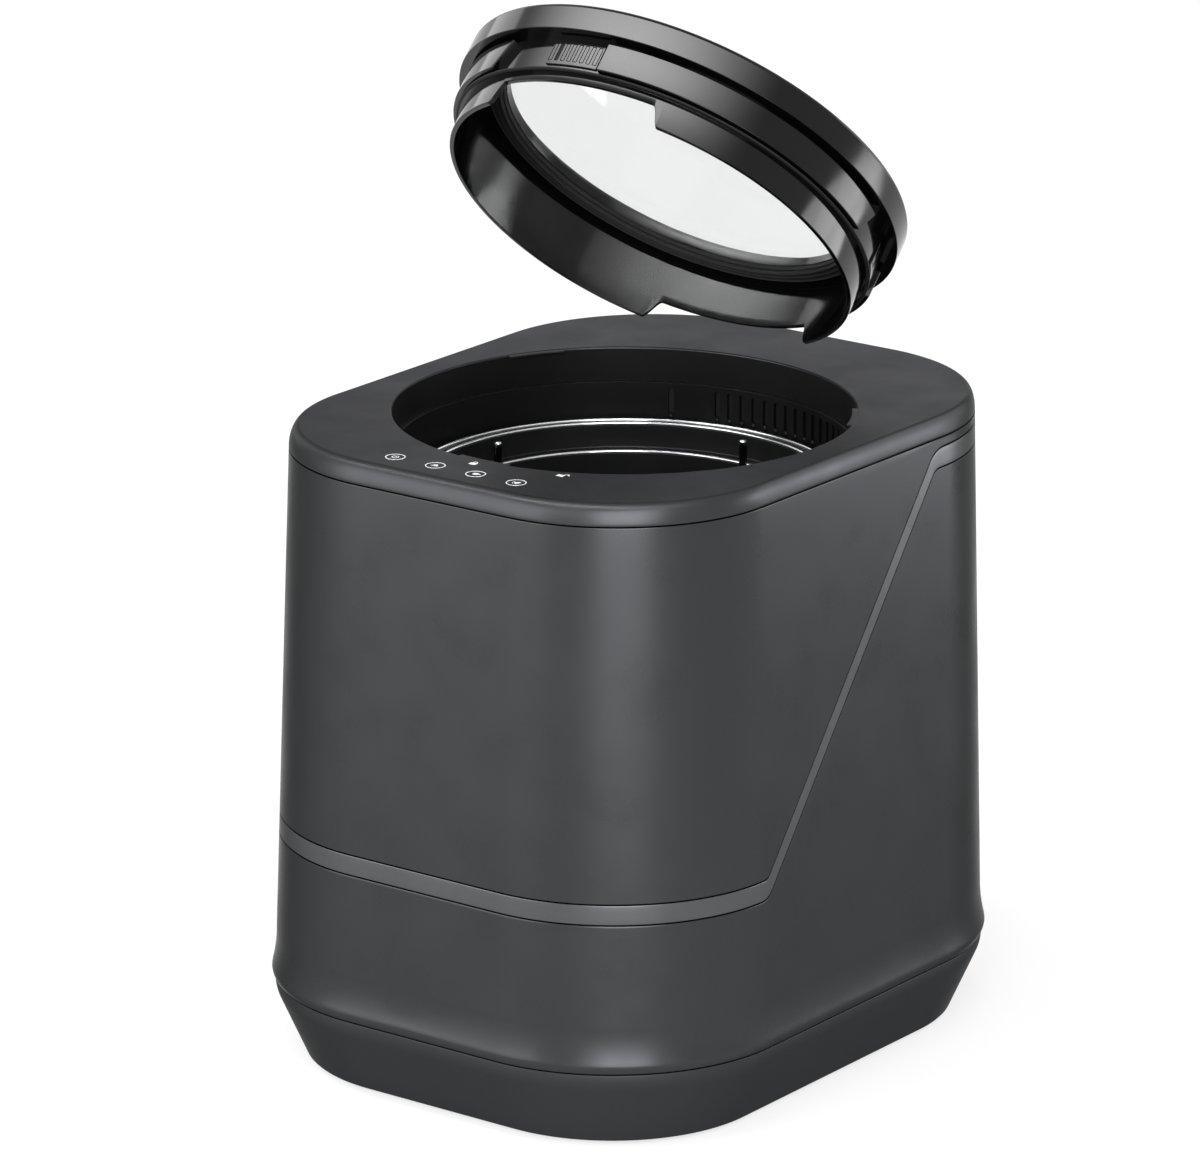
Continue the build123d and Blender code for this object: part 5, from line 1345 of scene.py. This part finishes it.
class COMPOSTER_OT_finishes(bpy.types.Operator):
    """All the finishes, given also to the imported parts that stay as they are"""

    bl_idname = "composter.finishes"
    bl_label = "Finishes"

    def execute(self, context):
        finish = sizes("finish")
        fine = 0.0006
        surface("shell", finish.shell, 0.30, metallic=1, rim=0.45, grain=fine, depth=6e-6)
        surface("cover", finish.cover, 0.36, metallic=1, rim=0.45, grain=fine, depth=6e-6)
        surface("base", finish.base, 0.50, metallic=1, rim=0.45, grain=fine, depth=1e-5)
        surface(
            "trim", finish.trim, 0.30, metallic=1, rim=0.4, grain=0.0003, depth=3e-6, tint=0.08
        )
        surface("mark", finish.mark, 0.5, grain=0.0003, depth=4e-6)
        surface(
            "lid", finish.lid, 0.10, specular=0.21, grain=0.004, depth=3e-6, spread=0.005, tint=0.1
        )
        surface("plate", finish.lid, 0.12, specular=0.25, grain=0.004, depth=3e-6, spread=0.005)
        surface("chamber", finish.inner, 0.42, specular=0.15, grain=fine, depth=1e-5)
        surface("inlet", finish.inner, 0.5, grain=fine, depth=1e-5)
        surface("pot", finish.pot, 0.36, specular=0.3, grain=0.0007, depth=1e-5)
        surface("rubber", (0.006, 0.006, 0.006), 0.7, specular=0.3, grain=fine, depth=1.2e-5)
        surface("bright", finish.steel, 0.12, metallic=1.0, grain=0.001, depth=1.5e-6)
        surface(
            "steel", finish.steel, 0.3, metallic=1.0, grain=0.0012, depth=4e-6,
            stretch=(1, 1, 12), spread=0.08,
        )
        surface("aluminium", (0.72, 0.73, 0.74), 0.34, metallic=1.0, grain=fine, depth=4e-6)
        surface("brass", (0.72, 0.52, 0.24), 0.3, metallic=1.0, grain=fine, depth=4e-6)
        surface("board", (0.02, 0.13, 0.05), 0.4, grain=0.002, depth=4e-6, tint=0.2)
        surface("nylon", (0.78, 0.76, 0.68), 0.45, grain=fine, depth=6e-6)
        surface("foam", (0.36, 0.36, 0.37), 0.95, grain=0.0012, depth=1.5e-4, tint=0.2)
        surface("carbon", (0.03, 0.03, 0.03), 0.85, grain=0.0018, depth=3e-4, tint=0.5)
        surface("grey", (0.22, 0.22, 0.23), 0.5, grain=fine, depth=1e-5)
        shader = surface(
            "window", (0.97, 0.98, 0.98), 0.015, grain=0.05, depth=1e-7, spread=0.005, tint=0.01
        )
        shader.inputs["Transmission Weight"].default_value = 1.0
        shader.inputs["IOR"].default_value = 1.45
        by_slot = {
            "shell_graphite": "shell", "base_charcoal": "base", "trim_satin": "trim",
            "mark_white": "mark", "lid_black": "lid", "inner_black": "inlet",
            "window_clear": "window", "rubber_black": "rubber", "steel_bright": "bright",
            "steel_plain": "steel", "coated_pot": "pot", "aluminium": "aluminium",
            "brass": "brass", "board_green": "board", "gear_nylon": "nylon",
            "foam_grey": "foam", "carbon": "carbon", "plastic_grey": "grey",
        }
        for part in frame["record"]["subparts"]:
            node = frame["nodes"][part["node"]]
            for socket in node.material_slots:
                socket.material = bpy.data.materials[by_slot[part["material_slot"]]]
        return {"FINISHED"}


# ---------------------------------------------------------------- studio
LAMP_AIM = 0.18  # height of the point that the lamps face
ARC_CROWN = math.radians(288)  # direction on the lid's ring where the bow is brightest
ARC_FADE = 0.42  # cosine from the brightest point at which the bow ends


class COMPOSTER_OT_studio(bpy.types.Operator):
    """Pale floor, camera and soft light"""

    bl_idname = "composter.studio"
    bl_label = "Studio"

    def execute(self, context):
        studio = sizes("studio")
        context.scene.view_settings.view_transform = "Standard"
        self.floor(studio)
        self.world(studio)
        self.camera(studio)
        middle = Vector((0, 0, LAMP_AIM))
        for name, azimuth, elevation, away, size, level in (
            ("key_corner", -49, 18, 1.7, (1.0, 1.6), studio.key),
            ("left_bank", -118, 18, 1.9, (1.7, 1.6), studio.left),
            ("right_bank", 60, 12, 1.9, (1.4, 1.0), studio.right),
            ("rear_bank", 116, 17, 2.2, (1.3, 1.0), studio.rear),
            ("far_bank", 165, 17, 2.0, (0.7, 0.9), studio.far),
        ):
            self.softbox(name, middle, azimuth, elevation, away, size, level)
        low = self.softbox("low_strip", middle, 44.4, 2.4, 1.2, (0.8, 0.17), studio.low)
        low.data.shape = "ELLIPSE"
        low.rotation_quaternion @= Quaternion((0, 0, 1), math.radians(-35))
        return {"FINISHED"}

    def background_share(self, nodes, links):
        """1 where a ray shows the background: straight, mirrored or through glass."""
        path = nodes.new("ShaderNodeLightPath")
        total = path.outputs["Is Camera Ray"]
        for ray in ("Is Glossy Ray", "Is Transmission Ray"):
            add = nodes.new("ShaderNodeMath")
            add.operation = "ADD"
            add.use_clamp = True
            links.new(total, add.inputs[0])
            links.new(path.outputs[ray], add.inputs[1])
            total = add.outputs[0]
        return total

    def floor(self, studio):
        bm = bmesh.new()
        bmesh.ops.create_grid(bm, x_segments=1, y_segments=1, size=10)
        mesh = bpy.data.meshes.new("floor")
        bm.to_mesh(mesh)
        bm.free()
        floor = added("floor", mesh)
        material = bpy.data.materials.new("floor")
        material.use_nodes = True
        nodes, links = material.node_tree.nodes, material.node_tree.links
        shader = nodes["Principled BSDF"]
        pale = studio.floor_tone
        shader.inputs["Base Color"].default_value = (pale, pale, pale, 1)
        shader.inputs["Roughness"].default_value = 0.9
        shader.inputs["Specular IOR Level"].default_value = 0.0
        shader.inputs["Emission Color"].default_value = (1, 1, 1, 1)
        scale = nodes.new("ShaderNodeMath")
        scale.operation = "MULTIPLY"
        scale.inputs[1].default_value = studio.floor_glow
        links.new(self.background_share(nodes, links), scale.inputs[0])
        links.new(scale.outputs[0], shader.inputs["Emission Strength"])
        mesh.materials.append(material)

    def world(self, studio):
        world = bpy.data.worlds.new("studio")
        bpy.context.scene.world = world
        world.use_nodes = True
        nodes, links = world.node_tree.nodes, world.node_tree.links
        sky = nodes["Background"]
        sky.inputs["Color"].default_value = (1, 1, 1, 1)
        level = nodes.new("ShaderNodeMapRange")
        level.inputs["To Min"].default_value = studio.room
        level.inputs["To Max"].default_value = 1.0
        links.new(self.background_share(nodes, links), level.inputs["Value"])
        total = nodes.new("ShaderNodeMath")
        links.new(level.outputs["Result"], total.inputs[0])
        links.new(self.arc(studio, nodes, links), total.inputs[1])
        links.new(total.outputs[0], sky.inputs["Strength"])

    def arc(self, studio, nodes, links):
        """Narrow bow of light overhead that follows the curve of the lid's ring."""
        lid_turn = raising()
        axis = lid_turn.to_3x3() @ Vector((0, 0, 1))
        normal = lid_turn.to_3x3() @ polar(1, ARC_CROWN, 0, (0, 0))
        spot = lid_turn @ polar(sizes("lid").band, ARC_CROWN, TOP)
        sight = (self.eye(studio) - spot).normalized()
        brightest = 2 * normal.dot(sight) * normal - sight
        place = nodes.new("ShaderNodeTexCoord")

        def along(direction):
            dot = nodes.new("ShaderNodeVectorMath")
            dot.operation = "DOT_PRODUCT"
            dot.inputs[1].default_value = direction
            links.new(place.outputs["Generated"], dot.inputs[0])
            return dot.outputs["Value"]

        def step(source, low, high, smooth):
            ramp = nodes.new("ShaderNodeMapRange")
            ramp.interpolation_type = smooth
            ramp.inputs["From Min"].default_value = low
            ramp.inputs["From Max"].default_value = high
            links.new(source, ramp.inputs["Value"])
            return ramp.outputs["Result"]

        def maths(operation, first, second):
            node = nodes.new("ShaderNodeMath")
            node.operation = operation
            for socket, source in zip(node.inputs, (first, second)):
                if isinstance(source, bpy.types.NodeSocket):
                    links.new(source, socket)
                else:
                    socket.default_value = source
            return node.outputs[0]

        aside = maths("ABSOLUTE", maths("ADD", along(axis), axis.dot(sight)), 0)
        across = step(aside, studio.arc_width, 0, "SMOOTHSTEP")
        length = maths("POWER", step(along(brightest), ARC_FADE, 1, "LINEAR"), 2)
        return maths("MULTIPLY", maths("MULTIPLY", across, length), studio.arc)

    def view_axes(self, studio):
        """To the right of the view, back to the camera, and up."""
        azimuth, elevation = studio.azimuth, studio.elevation
        right = Vector((math.cos(azimuth), math.sin(azimuth), 0))
        back = Vector(
            (
                math.sin(azimuth) * math.cos(elevation),
                -math.cos(azimuth) * math.cos(elevation),
                math.sin(elevation),
            )
        )
        return right, back, back.cross(right)

    def eye(self, studio):
        aim = Vector((0, studio.aim_y, studio.aim_z))
        return aim + self.view_axes(studio)[1] * studio.distance

    def camera(self, studio):
        right, back, up = self.view_axes(studio)
        data = bpy.data.cameras.new("camera")
        data.sensor_fit = "HORIZONTAL"
        data.sensor_width = 36
        data.lens = studio.lens
        data.clip_start, data.clip_end = 0.1, 60
        camera = added("camera", data)
        camera.location = self.eye(studio)
        look = -back + right * studio.view_side + up * studio.view_lift
        camera.rotation_mode = "QUATERNION"
        camera.rotation_quaternion = look.to_track_quat("-Z", "Y")
        bpy.context.scene.camera = camera

    def softbox(self, name, target, azimuth, elevation, away, size, level):
        """Rectangular lamp that faces a point; level is how bright its face looks."""
        turn, rise = math.radians(azimuth), math.radians(elevation)
        way = Vector(
            (math.cos(turn) * math.cos(rise), math.sin(turn) * math.cos(rise), math.sin(rise))
        )
        data = bpy.data.lights.new(name, "AREA")
        data.shape = "RECTANGLE"
        data.size, data.size_y = size
        data.energy = level * math.pi * size[0] * size[1]
        lamp = added(name, data)
        lamp.location = target + way * away
        lamp.rotation_mode = "QUATERNION"
        lamp.rotation_quaternion = (-way).to_track_quat("-Z", "Y")
        return lamp


# ---------------------------------------------------------------- add-on
OPERATORS = (
    COMPOSTER_OT_finishes,
    COMPOSTER_OT_base,
    COMPOSTER_OT_shells,
    COMPOSTER_OT_cover,
    COMPOSTER_OT_marks,
    COMPOSTER_OT_rear,
    COMPOSTER_OT_chamber,
    COMPOSTER_OT_bucket,
    COMPOSTER_OT_lid_ring,
    COMPOSTER_OT_window,
    COMPOSTER_OT_studio,
)


class COMPOSTER_PT_panel(bpy.types.Panel):
    """Lists the composter's pieces and their sizes"""

    bl_idname = "COMPOSTER_PT_panel"
    bl_label = "Composter"
    bl_space_type = "VIEW_3D"
    bl_region_type = "UI"
    bl_category = "Composter"

    def draw(self, context):
        column = self.layout.column()
        for operator in OPERATORS:
            column.operator(operator.bl_idname)
        for group in GROUPS:
            settings = getattr(context.scene, group)
            box = self.layout.box()
            for name in settings.__annotations__:
                box.prop(settings, name)


CLASSES = (*GROUPS.values(), *OPERATORS, COMPOSTER_PT_panel)


def register():
    for cls in CLASSES:
        bpy.utils.register_class(cls)
    for name, group in GROUPS.items():
        setattr(bpy.types.Scene, name, PointerProperty(type=group))


def unregister():
    for name in GROUPS:
        delattr(bpy.types.Scene, name)
    for cls in reversed(CLASSES):
        bpy.utils.unregister_class(cls)


def main():
    register()
    bpy.ops.composter.finishes()
    bpy.ops.composter.base()
    bpy.ops.composter.shells()
    bpy.ops.composter.cover()
    bpy.ops.composter.marks()
    bpy.ops.composter.rear()
    bpy.ops.composter.chamber()
    bpy.ops.composter.bucket()
    bpy.ops.composter.lid_ring()
    bpy.ops.composter.window()
    bpy.ops.composter.studio()


if __name__ == "__main__":
    main()
